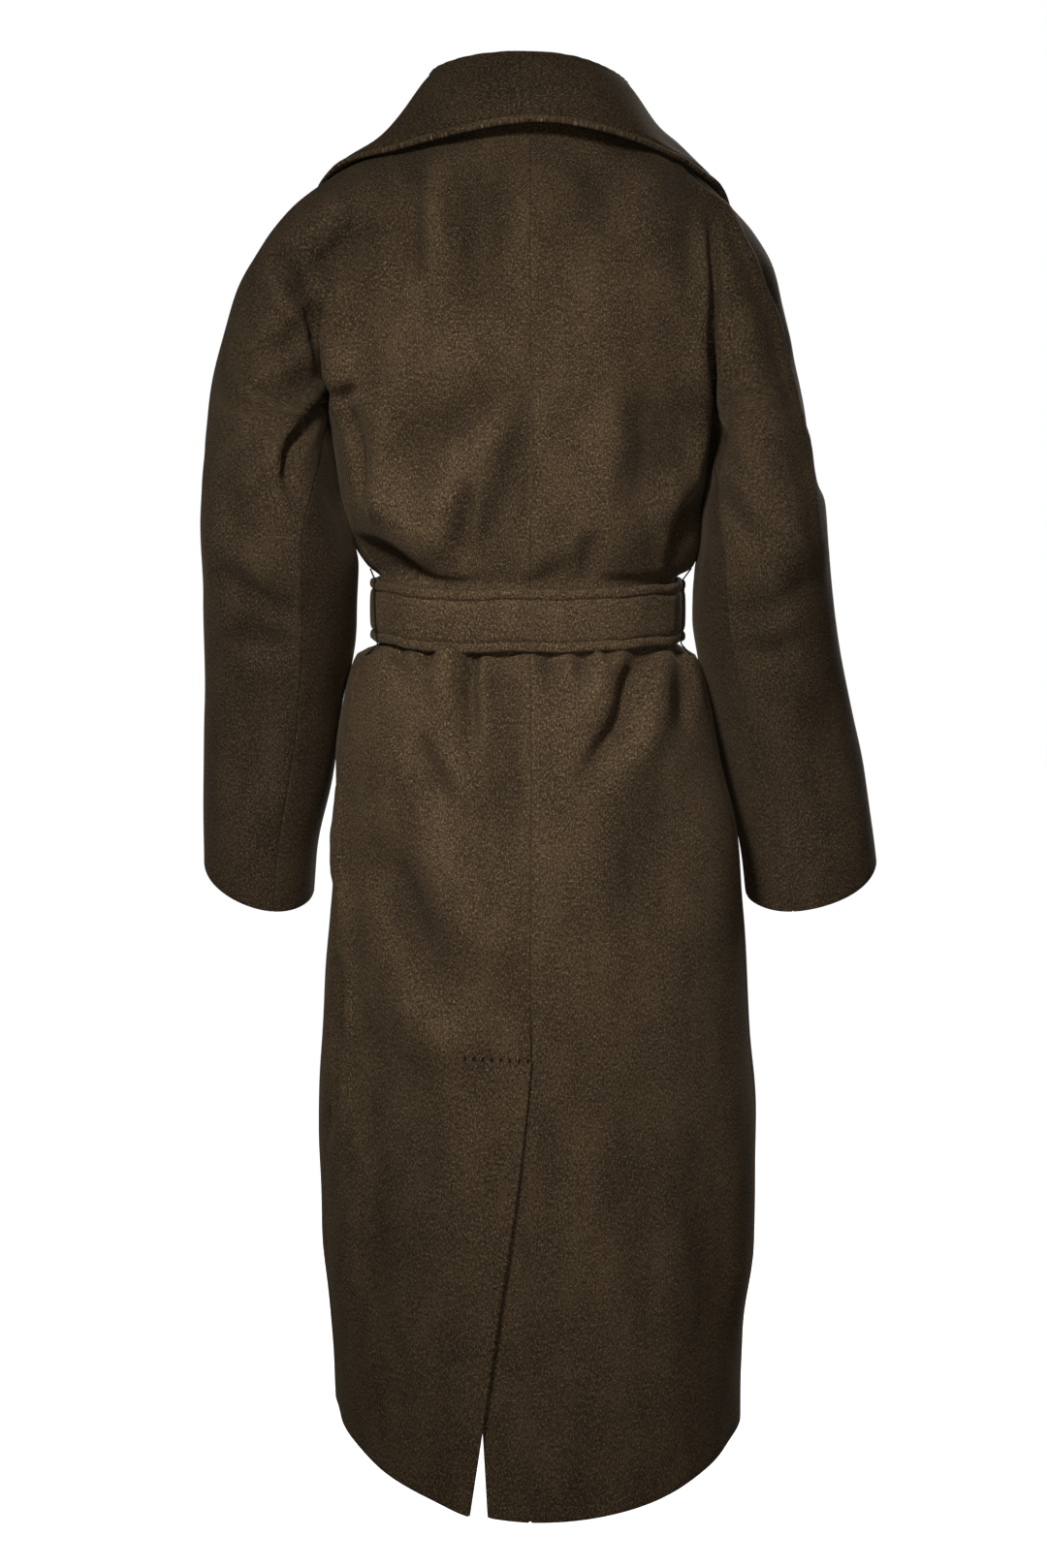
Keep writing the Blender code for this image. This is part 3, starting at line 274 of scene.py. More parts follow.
FOLDS = [
    # Behind, above the belt
    *folds(
        "body", "back",
        (141, -352, 63, -383, 3, 13, -12, 0.2),
        (133, -304, 71, -346, 2, 14, 9.6, 0.0),
        (27, -229, 111, -287, 3, 20, -11.2, 0.2),
        (2, -195, 16, -367, 2, 15, -7.5, 0.4),
        (9, -251, 34, -367, 0, 17, -6, 0.0),
        (52, -298, 49, -354, 2, 6, -11, 0.3),
        (71, -302, 75, -349, 0, 15, 9.6, 0.0),
        (-33, -363, -5, -378, 2, 8, -3, 0.0),
        (-87, -219, -100, -302, 2, 17, -2, 0.0),
        (-91, -228, -117, -274, 0, 13, -2.6, -0.2),
        (-98, -243, -111, -352, 0, 22, -4.8, 0.0),
        (-64, -240, -72, -344, 0, 18, 6.4, 0.0),
        (-106, -325, -100, -371, 2, 11, -5, 0.2),
        (-136, -313, -114, -371, 3, 9, -9, -0.2),
        (-121, -290, -97, -344, 0, 13, 8, 0.0),
        (-50, -340, -46, -374, 0, 9, -6.4, 0.0),
        (137, -225, 151, -239, 0, 5, -9, 0.0),
        (148, -233, 134, -316, -3, 5, -8, -0.2),
        (118, -236, 116, -321, 0, 12, 6.4, 0.0),
    ),
    # Behind, over the shoulder blades
    *folds(
        "body", "back",
        (88, -69, 91, -146, 2, 11, -9.6, 0.2),
        (74, -42, 69, -135, 0, 12, 6.4, 0.0),
        (33, -45, 39, -177, 3, 22, -11.2, 0.0),
        (6, -57, 2, -166, 0, 16, 6.4, 0.0),
        (-52, -38, -50, -104, 0, 20, -8, 0.0),
        (-91, -38, -111, -123, 0, 18, 9.6, 0.0),
        (-125, -69, -130, -146, 0, 10, -2.5, 0.0),
        (204, -118, 119, -56, 2, 13, 8, 0.0),
        (183, -136, 121, -82, 0, 13, -5, 0.0),
        (207, -123, 175, -146, 0, 8, -9, -0.2),
        (159, -143, 150, -243, 0, 14, 11.2, 0.0),
        (-142, -92, -142, -313, 0, 18, 8, 0.0),
    ),
    # Creases between body and sleeves behind
    *folds(
        "all", "back",
        (-145, -89, -146, -212, 0, 5, -11, 0.0),
        (-146, -189, -139, -314, 0, 5, -10, 0.0),
        (194, -130, 166, -183, -3, 6, -13, 0.0),
        (171, -162, 162, -239, 0, 5, -9, 0.0),
    ),
    # Left sleeve behind, dragged towards the armpit
    *folds(
        "all", "back",
        (179, -156, 227, -189, 3, 9, 4, 0.2),
        (177, -198, 232, -222, 3, 9, 3.5, 0.0),
        (180, -181, 232, -208, 3, 9, -3, 0.2),
        (162, -220, 190, -319, 25, 7, 7, 0.3),
        (159, -229, 188, -315, 20, 5, -10, -0.2),
    ),
    *folds(
        "sleeve", "back",
        (162, -240, 152, -333, 0, 10, -4, 0.0),
        (246, -298, 201, -349, 4, 16, -5, 0.0),
        (243, -368, 188, -404, 3, 13, -6, 0.2),
        (240, -415, 193, -432, 0, 13, -5, 0.0),
        (222, -466, 236, -571, 3, 20, -4, 0.0),
    ),
    # Over-arm seam of the right sleeve, where it rolls to the back
    *folds(
        "all", "back",
        (-111, -40, -153, -76, 0, 4, 3, 0.0),
        (-145, -65, -192, -150, -4, 4, 3, 0.0),
        (-186, -132, -219, -256, -2, 4, 3, 0.0),
        (-216, -240, -244, -397, 0, 4, 3, 0.0),
        (-122, -39, -162, -74, 0, 5, -4, 0.0),
        (-155, -64, -201, -150, -4, 5, -4, 0.0),
        (-196, -132, -228, -256, -2, 5, -4, 0.0),
        (-225, -240, -251, -398, 0, 5, -4, 0.0),
    ),
    # Right sleeve behind
    *folds(
        "all", "back",
        (-141, -240, -175, -298, 3, 12, -6, -0.2),
        (-164, -107, -172, -244, 0, 16, 5, 0.0),
    ),
    *folds(
        "sleeve", "back",
        (-168, -251, -172, -345, 0, 15, 4, 0.0),
        (-146, -298, -189, -351, 3, 12, -6, -0.2),
        (-163, -407, -227, -379, 3, 14, -3.2, 0.0),
        (-174, -434, -224, -423, 2, 12, -3.2, 0.2),
        (-211, -298, -214, -379, 3, 20, 5, 0.0),
        (-233, -466, -249, -587, 0, 22, -4, 0.0),
    ),
    # Behind, below the belt
    *folds(
        "body", "back",
        (18, -423, 16, -600, 2, 17, -9, 0.4),
        (49, -419, 46, -512, 2, 7, -13, 0.3),
        (65, -425, 66, -476, 0, 11, 9.6, 0.0),
        (-95, -422, -42, -532, -4, 9, -11, -0.3),
        (-111, -441, -75, -530, -3, 16, 4.8, 0.0),
        (-67, -429, -30, -499, 0, 14, 8, 0.0),
        (92, -501, 66, -550, 2, 10, -8, 0.0),
        (60, -507, 54, -554, 0, 12, 6.4, 0.0),
        (123, -581, 63, -698, 5, 24, -12, -0.2),
        (91, -577, 37, -685, 0, 26, 8, 0.0),
        (99, -701, 54, -763, 0, 24, 11.2, 0.0),
        (-118, -423, -128, -504, 0, 8, -8, 0.2),
        (103, -422, 100, -454, 2, 8, -9, 0.0),
        (81, -422, 83, -450, 0, 7, -11.2, 0.0),
        (-12, -422, -15, -457, 0, 8, -8, 0.0),
        (-46, -422, -38, -460, 0, 8, -9.6, 0.0),
        (-67, -422, -61, -448, 0, 7, -8, 0.0),
        (-118, -530, -80, -670, 6, 28, -9.6, 0.0),
    ),
    # Left side seam, seen from behind as a raised edge
    *folds(
        "body", "back",
        (146, -513, 156, -592, 0, 4, 4, 0.0),
        (157, -576, 146, -727, -3, 4, 4, 0.0),
        (146, -711, 157, -837, 0, 4, 4, 0.0),
        (155, -515, 164, -594, 0, 5, -5, 0.0),
        (165, -579, 154, -730, -3, 5, -5, 0.0),
        (154, -714, 165, -841, 0, 5, -5, 0.0),
    ),
    # Behind, over the skirt
    *folds(
        "body", "back",
        (-35, -795, -21, -885, 2, 26, -3.6, 0.0),
        (-78, -760, -113, -975, 6, 30, -5, 0.0),
        (-53, -780, -72, -1038, 0, 28, 4.3, 0.0),
        (89, -760, 101, -989, 4, 26, -4.3, 0.0),
        (52, -776, 63, -884, 0, 24, 3.6, 0.0),
        (-139, -780, -147, -1038, 4, 18, -3.6, 0.0),
        (129, -749, 117, -1038, 4, 16, -5, 0.0),
        (-118, -880, -116, -1077, 0, 20, 3.6, 0.0),
    ),
    # In front, above the belt
    *folds(
        "body", "front",
        (140, -300, 80, -374, 4, 18, -9.1, 0.2),
        (96, -270, 60, -362, 4, 20, -6.5, 0.0),
        (-134, -310, -90, -374, 3, 16, -9.1, -0.2),
        (-104, -250, -72, -356, -4, 22, -6.5, 0.0),
        (-30, -318, -42, -376, 0, 10, -4.7, 0.0),
    ),
    # In front, below the belt
    *folds(
        "body", "front",
        (92, -428, 60, -540, 4, 13, -9.1, 0.2),
        (112, -428, 118, -500, 0, 9, -5.2, 0.0),
        (58, -428, 52, -480, 0, 8, -4.7, 0.0),
        (-72, -428, -50, -560, -4, 14, -7.8, 0.0),
        (-100, -428, -104, -490, 0, 9, -5.9, 0.0),
        (-30, -428, -34, -474, 0, 8, -3.9, 0.0),
        (110, -600, 80, -820, 6, 30, -6.5, 0.0),
        (-90, -620, -120, -900, 6, 32, -6.5, 0.0),
        (30, -700, 52, -1040, 0, 34, -5.2, 0.0),
        (-30, -760, -44, -1060, 0, 30, 4.4, 0.0),
    ),
    # In front, on both sleeves at the bend of the arm
    *folds(
        "all", "front",
        (150, -180, 206, -240, 4, 12, -5.2, 0.0),
        (144, -214, 190, -270, 4, 10, -5.2, 0.2),
    ),
    *folds(
        "sleeve", "front",
        (164, -360, 244, -338, 4, 12, -5.2, 0.0),
        (170, -394, 254, -382, 3, 11, -6, 0.2),
        (176, -424, 242, -432, 3, 12, -4.4, 0.0),
        (226, -470, 216, -590, 3, 20, -3.4, 0.0),
    ),
    *folds(
        "all", "front",
        (-136, -186, -186, -250, 4, 12, -5.2, 0.0),
    ),
    *folds(
        "sleeve", "front",
        (-152, -350, -222, -330, 4, 12, -5.2, 0.0),
        (-156, -384, -236, -376, 4, 11, -5.7, 0.0),
        (-170, -420, -240, -430, 3, 12, -4.4, 0.2),
        (-222, -470, -240, -590, 3, 20, -3.4, 0.0),
    ),
]

# Painted shade and highlight: the share of the wool's colour kept on smooth cloth, in hollows (darker) and
# on each kind of piece, up to full on ridges, and the fold heights, levels and distances over which it
# changes
SMOOTH_PAINTED_SHADE = 0.90
HOLLOW_PAINTED_SHADE = 0.66
HOLLOW_DEEP = 0.010
RIDGE_HIGH = 0.006
# Painted shade on the sleeves, and the distance over which it fades in past their inner edges
SLEEVE_PAINTED_SHADE = 0.78
SLEEVE_SHADE_EASE = 0.012
# Painted shadow on the upper under sleeves beside the body, and the levels over which it fades
UNDER_SLEEVE_PAINTED_SHADE = 0.62
UNDER_SLEEVE_SHADE_Z = (-0.52, -0.36)
# Painted shade over the shoulders, darker towards the top, and the levels over which it grows
SHOULDER_PAINTED_SHADE = 0.86
SHOULDER_SHADE_Z = (-0.20, -0.04)
# Painted shade on the collar, and a lighter share on its lip as a painted highlight
COLLAR_PAINTED_SHADE = 0.62
LIP_PAINTED_HIGHLIGHT = 0.95

# Slight unevenness of the cloth: how many waves, their shortest and longest length and their height, and
# how far the folds wander from their lines
UNEVEN_SEED = 7
UNEVEN_WAVES = 40
UNEVEN_LENGTHS = (0.045, 0.160)
UNEVEN_HEIGHT = 0.0011
WANDER = 0.004

# Collar sections by their way along the neck edge from the centre back: height and lean of the stand,
# and the place of the outer edge
Turn = namedtuple("Turn", "along stand lean x y z")
COLLAR = {
    "left": (
        Turn(0.000, 0.045, 0.012, 0.000, 0.096, -0.008),
        Turn(0.030, 0.044, 0.012, 0.035, 0.093, -0.014),
        Turn(0.058, 0.040, 0.012, 0.072, 0.078, -0.021),
        Turn(0.084, 0.033, 0.013, 0.110, 0.052, -0.030),
        Turn(0.108, 0.024, 0.012, 0.141, 0.026, -0.039),
        Turn(0.130, 0.016, 0.010, 0.162, -0.006, -0.051),
        Turn(0.155, 0.011, 0.009, 0.172, -0.045, -0.078),
        Turn(0.200, 0.008, 0.008, 0.166, -0.090, -0.125),
        Turn(0.270, 0.006, 0.006, 0.134, -0.118, -0.180),
        Turn(0.330, 0.005, 0.005, 0.084, -0.131, -0.222),
        Turn(0.375, 0.004, 0.005, 0.042, -0.138, -0.250),
        Turn(0.410, 0.004, 0.005, 0.004, -0.141, -0.271),
    ),
    "right": (
        Turn(0.000, 0.045, 0.012, 0.000, 0.096, -0.008),
        Turn(0.030, 0.043, 0.012, 0.035, 0.098, -0.011),
        Turn(0.058, 0.035, 0.011, 0.066, 0.091, -0.017),
        Turn(0.084, 0.023, 0.010, 0.092, 0.074, -0.026),
        Turn(0.108, 0.013, 0.009, 0.122, 0.038, -0.043),
        Turn(0.130, 0.010, 0.009, 0.148, -0.004, -0.060),
        Turn(0.155, 0.009, 0.009, 0.160, -0.045, -0.088),
        Turn(0.200, 0.008, 0.008, 0.156, -0.090, -0.130),
        Turn(0.270, 0.007, 0.008, 0.138, -0.118, -0.190),
        Turn(0.340, 0.007, 0.008, 0.104, -0.130, -0.245),
        Turn(0.420, 0.008, 0.009, 0.048, -0.128, -0.305),
        Turn(0.490, 0.009, 0.010, -0.022, -0.120, -0.350),
        Turn(0.535, 0.008, 0.009, -0.070, -0.114, -0.368),
    ),
}

# How the collar turns, and the stitched channel inside its edge
STAND_UPRIGHT = 0.6
ROLL = 0.8
FALL_HANG = 0.4
FALL_SWELL = 0.006
TURN_REACH = 0.024
TURN_STEPS = 13
ROLL_ROUNDS = 3
SETTLE_ROUNDS = 4
CHANNEL_IN = 0.0055
CHANNEL_HALF = 0.0016
CHANNEL_DEEP = 0.0020

# Where the right front is lifted to pass over the lower end of the left lapel
CROSSING = (0.004, -0.252)
CROSSING_REACH = 0.080
CROSSING_LIFT = 0.011

# Belt: shares of its thickness and width round its section, with a padded roll along each edge and a
# stitched groove beside it; the share of its thickness at which its outer face begins, on the belt and on
# its ends; how it sags behind; and its waves round the waist, how many and how high, with some more in its
# thickness than in its level
Corner = namedtuple("Corner", "thick wide")
HALF_SECTION = (
    Corner(0.00, -0.440),
    Corner(0.10, -0.485),
    Corner(0.50, -0.505),
    Corner(0.90, -0.480),
    Corner(1.00, -0.425),
    Corner(0.92, -0.370),
    Corner(0.68, -0.336),
    Corner(0.86, -0.300),
    Corner(0.98, -0.220),
)
BELT_SECTION = (
    *HALF_SECTION,
    Corner(1.02, 0.000),
    *(Corner(corner.thick, -corner.wide) for corner in reversed(HALF_SECTION)),
)
BELT_STITCH = 0.336
BELT_FACE = 0.5
TAIL_FACE = 0.45
BELT_SAG = 0.0035
BELT_SAG_DEPTHS = (0.02, 0.10)
BELT_WAVES = ((3, 0.0007), (7, 0.0005), (13, 0.0004), (29, 0.0002))
SWELL_WAVES = 2

# Belt tie at the front: middle of the knot, its half sizes and pleats, the ends that hang from it and how
# they are gathered, and where the rays start that find the cloth beneath them
KNOT_X = 0.012
KNOT_HALF = (0.030, 0.013, BELT_WIDTH / 2)
KNOT_ROUND = 0.8
KNOT_PLEATS = ((0.011, 0.35, 0.0011), (0.017, -0.20, 0.0009))
Tail = namedtuple("Tail", "name x_top x_low length")
TAILS = (
    Tail("belt_end_left", 0.038, 0.066, 0.340),
    Tail("belt_end_right", -0.014, -0.036, 0.300),
)
TAIL_TUCK = 0.004
TAIL_GATHER = 0.62
TAIL_GATHER_LENGTH = 0.070
TAIL_SWAY = 0.003
TAIL_PLEATS = 3
TAIL_RAY_Y = -1

# Where each piece lies on the cloth, so that no two show the same stretch of it
PANEL_PLACE = {"left": 0.0, "right": 2.0, "back": 0.0, "front": 5.0}
UNDER_PLACE = {"left": 13.0, "right": 11.0}
COLLAR_PLACE = 20.0
BELT_PLACE = 30.0
KNOT_PLACE = 34.0
TAIL_PLACE = 36.0

# Stitches: how far apart, how long, wide and high they are, and how far each is turned
Stitch = namedtuple("Stitch", "pitch length width height turn")
EDGE_STITCH = Stitch(0.0042, 0.0030, 0.0006, 0.0005, 0.0)
LAPEL_STITCH_LOW = -0.236
VENT_STITCH = Stitch(0.0064, 0.0042, 0.0022, 0.0028, 1.35)
VENT_STITCH_ENDS = (0.002, 0.004)
VENT_STITCHES = 9
STITCH_BALL = {"Segments": 8, "Rings": 5, "Radius": 0.5}
STITCH_SEED = 4
STITCH_STRAY = 0.16

# Wool: how many fibres, flecks and patches to the metre across and along the cut, how detailed they are and
# how far they drift, what each adds to the tone and to the surface, and the colours of the tone's ends, of
# the flecks and of the thread
FIBRE_SCALE = (760.0, 470.0, 1.0)
FLECK_SCALE = (900.0, 480.0, 1.0)
PATCH_SCALE = (34.0, 16.0, 1.0)
HEATHER_SCALE = 420.0
DRIFT_SCALE = 38.0
DRIFT = 0.006
FINE_DETAIL = 2.0
FLECK_DETAIL = 1.0
PATCH_DETAIL = 4.0
PATCH_ROUGH = 0.6
NOISE_MIDDLE = 0.5
TONE = 0.42
FIBRE_TONE = 2.1
HEATHER_TONE = 0.6
PATCH_TONE = 0.75
FIBRE_BUMP = 0.6
HEATHER_BUMP = 0.5
FLECK_BUMP = 0.3
WOOL_BUMP = {"Strength": 0.55, "Distance": 0.0011}
FLECK_RANGE = (0.57, 0.70)
FLECK_SHARE = 0.75
WOOL_DARK = (0.034, 0.0215, 0.0108, 1.0)
WOOL_LIGHT = (0.142, 0.092, 0.047, 1.0)
WOOL_FLECK = (0.30, 0.210, 0.120, 1.0)
BLACK = (0.0, 0.0, 0.0, 1.0)
WHITE = (1.0, 1.0, 1.0, 1.0)
WOOL_FINISH = {
    "Roughness": 0.92,
    "Specular IOR Level": 0.18,
    "Sheen Weight": 0.08,
    "Sheen Roughness": 0.45,
    "Sheen Tint": (0.90, 0.70, 0.45, 1.0),
}
THREAD_SCALE = 900.0
THREAD_DARK = (0.011, 0.0075, 0.0045, 1.0)
THREAD_LIGHT = (0.034, 0.023, 0.014, 1.0)
THREAD_BUMP = {"Strength": 0.4, "Distance": 0.0003}
THREAD_FINISH = {"Roughness": 0.9, "Specular IOR Level": 0.05}

# Camera of the photo: its distance behind the coat, its height, and the middle and half height of view;
# and the floor's half size, level, finish and tones
CAMERA_Y = 3.4
CAMERA_Z = -0.20
VIEW_MIDDLE = (0.0056, 0.0, -0.548)
VIEW_HALF = 0.6472
SENSOR = 36.0
FLOOR_HALF = 9.0
FLOOR_Z = -1.42
FLOOR_FINISH = {
    "Roughness": 0.9,
    "Specular IOR Level": 0.0,
    "Emission Strength": 1.0,
    "Emission Color": WHITE,
}
FLOOR_SCALE = 1.5
FLOOR_TONES = ((0.90, 0.90, 0.90, 1.0), (0.93, 0.93, 0.93, 1.0))

# Lamps: where they are and point to, how wide they are, their spread in degrees and their power, and the
# even light from all round
Lamp = namedtuple("Lamp", "name place target size spread power")
LAMPS = (
    Lamp("key", (0.50, 1.70, 0.60), (-0.04, 0.0, -0.53), 0.35, 43, 1.8),
    Lamp("back_fill", (-0.40, 2.80, -0.50), (0.0, 0.0, -0.6), 1.0, 180, 10.0),
    Lamp("front_fill", (-0.9, -2.6, 0.4), (0.0, 0.0, -0.5), 1.8, 180, 50.0),
)
AMBIENT = 0.05

# Block that each piece is cut from, and the piece's own flat area
Cut = namedtuple("Cut", "width length area")

SIDES = {"left": 1.0, "right": -1.0}
OTHER = {"left": "right", "right": "left"}
FACES = {"back": 1.0, "front": -1.0}


class Curves:
    """Smooth curves through the columns of a table, against its first column."""

    def __init__(self, rows):
        self.rows = sorted(rows)
        self.at = np.array([row[0] for row in self.rows])

    def __call__(self, name, at):
        value = np.array([getattr(row, name) for row in self.rows], float)
        step = np.diff(self.at)
        rise = np.diff(value) / step
        before, after = rise[:-1], rise[1:]
        bends = before * after > 0
        mean = 2 * before * after / np.where(bends, before + after, 1)
        slope = np.concatenate([rise[:1], np.where(bends, mean, 0), rise[-1:]])
        at = np.clip(at, self.at[0], self.at[-1])
        i = np.clip(np.searchsorted(self.at, at) - 1, 0, len(step) - 1)
        t = (at - self.at[i]) / step[i]
        low = value[i] * (1 + 2 * t) * (1 - t) ** 2 + slope[i] * step[i] * t * (1 - t) ** 2
        high = value[i + 1] * t ** 2 * (3 - 2 * t) + slope[i + 1] * step[i] * t ** 2 * (t - 1)
        return low + high


BODY_AT = Curves(BODY)
SLEEVE_AT = {side: Curves(rows) for side, rows in SLEEVE.items()}
SEAM_AT = Curves(SIDE_SEAM)
EDGE_AT = Curves(FRONT_EDGE)
VENT_AT = Curves(VENT)
CREASE_AT = Curves(CREASE)


def collar_curves(side):
    """Curves of one half of the collar, which run on smoothly past the centre back."""
    beyond = COLLAR[OTHER[side]][1:3]
    mirrored = [row._replace(along=-row.along, x=-row.x) for row in beyond]
    return Curves(mirrored + list(COLLAR[side]))


COLLAR_AT = {side: collar_curves(side) for side in SIDES}


def ease(value, start, end):
    """Smooth step from 0 at start to 1 at end."""
    t = np.clip((value - start) / (end - start), 0, 1)
    return t * t * (3 - 2 * t)


def signed_power(value, power):
    return np.sign(value) * np.abs(value) ** power


def unit(vectors):
    return vectors / np.maximum(np.linalg.norm(vectors, axis=-1, keepdims=True), TINY)


def lengths(line):
    """Distance along a line at each of its points."""
    steps = np.linalg.norm(np.diff(line, axis=0), axis=1)
    return np.concatenate([[0.0], np.cumsum(steps)])


def points_at(line, distances):
    """Points of a line at given distances along it."""
    along = lengths(line)
    return np.stack([np.interp(distances, along, line[:, k]) for k in range(line.shape[1])], -1)


def body_width(side, across, z):
    """Half width of the body on the side where a distance across lies."""
    return np.where(across >= 0, BODY_AT(side, z), BODY_AT(OTHER[side], z))


def body_point(side, angle, z):
    """Points of the body's outer face; the angle runs from the centre back round the wearer's side."""
    angle, z = np.broadcast_arrays(angle, z)
    power = 2 / BODY_AT("square", z)
    deep = np.where(np.cos(angle) >= 0, BODY_AT("back", z), BODY_AT("front", z))
    x = SIDES[side] * body_width(side, np.sin(angle), z) * signed_power(np.sin(angle), power)
    y = deep * signed_power(np.cos(angle), power)
    return np.stack([x, y, z], -1)


def body_angle(side, face, across, z):
    """Angle at which the back or the front of the body reaches a distance across."""
    angle = np.arcsin(signed_power(across / body_width(side, across, z), BODY_AT("square", z) / 2))
    return angle if face == "back" else np.pi - angle


def sleeve_point(side, angle, z):
    """Points of a sleeve's outer face; the angle runs from the outer edge round the back."""
    angle, z = np.broadcast_arrays(angle, z)
    at = SLEEVE_AT[side]
    outer, inner = at("outer", z), at("inner", z)
    x = SIDES[side] * ((outer + inner) / 2 + (outer - inner) / 2 * np.cos(angle))
    y = at("mid", z) + at("depth", z) * np.sin(angle)
    return np.stack([x, y, z], -1)


def crease_across(side, face, z):
    """Distance across at which body and sleeve meet, above the armpit."""
    at = SLEEVE_AT[side]
    outer, inner, mid, depth = (at(name, z) for name in ("outer", "inner", "mid", "depth"))
    wide, deep, square = BODY_AT(side, z), BODY_AT(face, z), BODY_AT("square", z)
    low, high = inner, wide
    for _ in range(BISECTIONS):
        across = (low + high) / 2
        body = deep * (1 - (across / wide) ** square) ** (1 / square)
        round_off = 1 - ((2 * across - outer - inner) / (outer - inner)) ** 2
        sleeve = FACES[face] * mid + depth * np.sqrt(round_off)
        low, high = (across, high) if body > sleeve else (low, across)
    return (low + high) / 2


def soften(line, corner, soft):
    """Round a line's corner, which lies a distance along it, by a running mean that fades away from it."""
    count = int(lengths(line)[-1] / FINE_STEP)
    step = lengths(line)[-1] / count
    even = points_at(line, np.arange(count + 1) * step)
    reach = min(int(SOFT_REACH * soft / step) + 1, count - 1)
    kernel = np.exp(-0.5 * (np.arange(-reach, reach + 1) * step / soft) ** 2)
    head = 2 * even[0] - even[reach:0:-1]
    tail = 2 * even[-1] - even[-2:-reach - 2:-1]
    padded = np.concatenate([head, even, tail])
    smooth = [np.convolve(padded[:, k], kernel / kernel.sum(), "valid") for k in range(3)]
    near = np.exp(-((np.arange(count + 1) * step - corner) / (SOFT_FADE * soft)) ** 2)
    return even + (np.stack(smooth, -1) - even) * near[:, None]


def crowd_ends(even, near):
    """Steps with two extra ones close to each end, for the grooves of the seams there."""
    way = np.sign(even[-1] - even[0])
    head = even[0] + way * np.minimum(near, abs(even[1] - even[0]) * SEAM_CROWD)
    tail = even[-1] - way * np.minimum(near, abs(even[-1] - even[-2]) * SEAM_CROWD)
    return np.concatenate([even[:1], head, even[1:-1], tail[::-1], even[-1:]])


def seam_steps(length, count):
    """Distances that divide a length evenly, closer at both ends."""
    return crowd_ends(np.linspace(0, length, count + 1), SEAM_COLUMNS)


BODY_LAST = BODY_COLUMNS + 2 * len(SEAM_COLUMNS)


def sleeve_turns(inner):
    """Angles that divide half a sleeve from its inner angle to the over-arm seam: the outer columns
    stay where they are while the inner ones run round to the armpit."""
    turn = min(OUTER_TURN, inner * OUTER_COLUMNS / SLEEVE_COLUMNS)
    inside = np.linspace(inner, turn, SLEEVE_COLUMNS - OUTER_COLUMNS + 1)
    even = np.append(inside, np.linspace(turn, 0, OUTER_COLUMNS + 1)[1:])
    return crowd_ends(even, SEAM_COLUMNS / SLEEVE_ROUND)


def merged_row(side, face, z):
    """One level above the armpit, from the middle over the crease to the over-arm seam."""
    start = 0.0 if face == "back" else EDGE_AT("across", z)
    meet = crease_across(side, face, z)
    angles = np.linspace(body_angle(side, face, start, z), body_angle(side, face, meet, z), FINE)
    body = body_point(side, angles, z)
    outer, inner = SLEEVE_AT[side]("outer", z), SLEEVE_AT[side]("inner", z)
    angle = np.arccos((2 * meet - outer - inner) / (outer - inner))
    turned = np.linspace(0, angle, FINE)
    sleeve = sleeve_point(side, FACES[face] * (angle - turned), z)
    corner = lengths(body)[-1]
    line = soften(np.concatenate([body, sleeve[1:]]), corner, CREASE_AT("soft", z))
    inside = seam_steps(corner, BODY_COLUMNS)
    share = np.interp(angle - sleeve_turns(angle), turned, lengths(sleeve)) / lengths(sleeve)[-1]
    outside = corner + share * (lengths(line)[-1] - corner)
    return points_at(line, np.append(inside, outside[1:]))


def hem_level(side, angle, z):
    """Level of a body point: rows sink towards the hem at the back and rise at the left."""
    sink = BACK_HEM_DROP * np.clip(np.cos(angle), 0, 1) ** BACK_HEM_CURVE
    rise = LEFT_HEM_RISE * np.clip(SIDES[side] * np.sin(angle), 0, 1)
    return z + (rise - sink) * ease(z, BELT_Z - BELT_WIDTH, HEM_Z)


def body_row(side, face, z, start):
    """One level of the body below the armpit, from a distance across to the side seam."""
    angles = np.linspace(body_angle(side, face, start, z), np.radians(SEAM_AT(side, z)), FINE)
    along = lengths(body_point(side, angles, z))
    angles = np.interp(seam_steps(along[-1], BODY_COLUMNS), along, angles)
    return body_point(side, angles, hem_level(side, angles, z))


def underlap_row(z):
    """One level of the right back's underlap, from its free edge to the centre back."""
    across = np.linspace(-VENT_AT("under", hem_level("right", 0.0, z)), 0, UNDERLAP_COLUMNS + 1)
    angles = body_angle("right", "back", across, z)
    return body_point("right", angles, hem_level("right", angles, z))


def cuff_level(angle, z):
    """Level of a sleeve point: rows tilt towards the cuff, low behind and high outside."""
    tilt = CUFF_SIDE_RISE * np.cos(angle) - CUFF_BACK_DROP * np.sin(angle)
    return z + tilt * ease(z, GUSSET_Z, CUFF_Z)


def sleeve_row(side, angles, z):
    """One level of a sleeve below the armpit."""
    return sleeve_point(side, angles, cuff_level(angles, z))


def levels(*stops):
    """Levels from stops and the numbers of rows between them, by turns."""
    rows = [np.array(stops[:1])]
    for top, count, low in zip(stops[0::2], stops[1::2], stops[2::2]):
        rows.append(np.linspace(top, low, count + 1)[1:])
    return np.concatenate(rows)


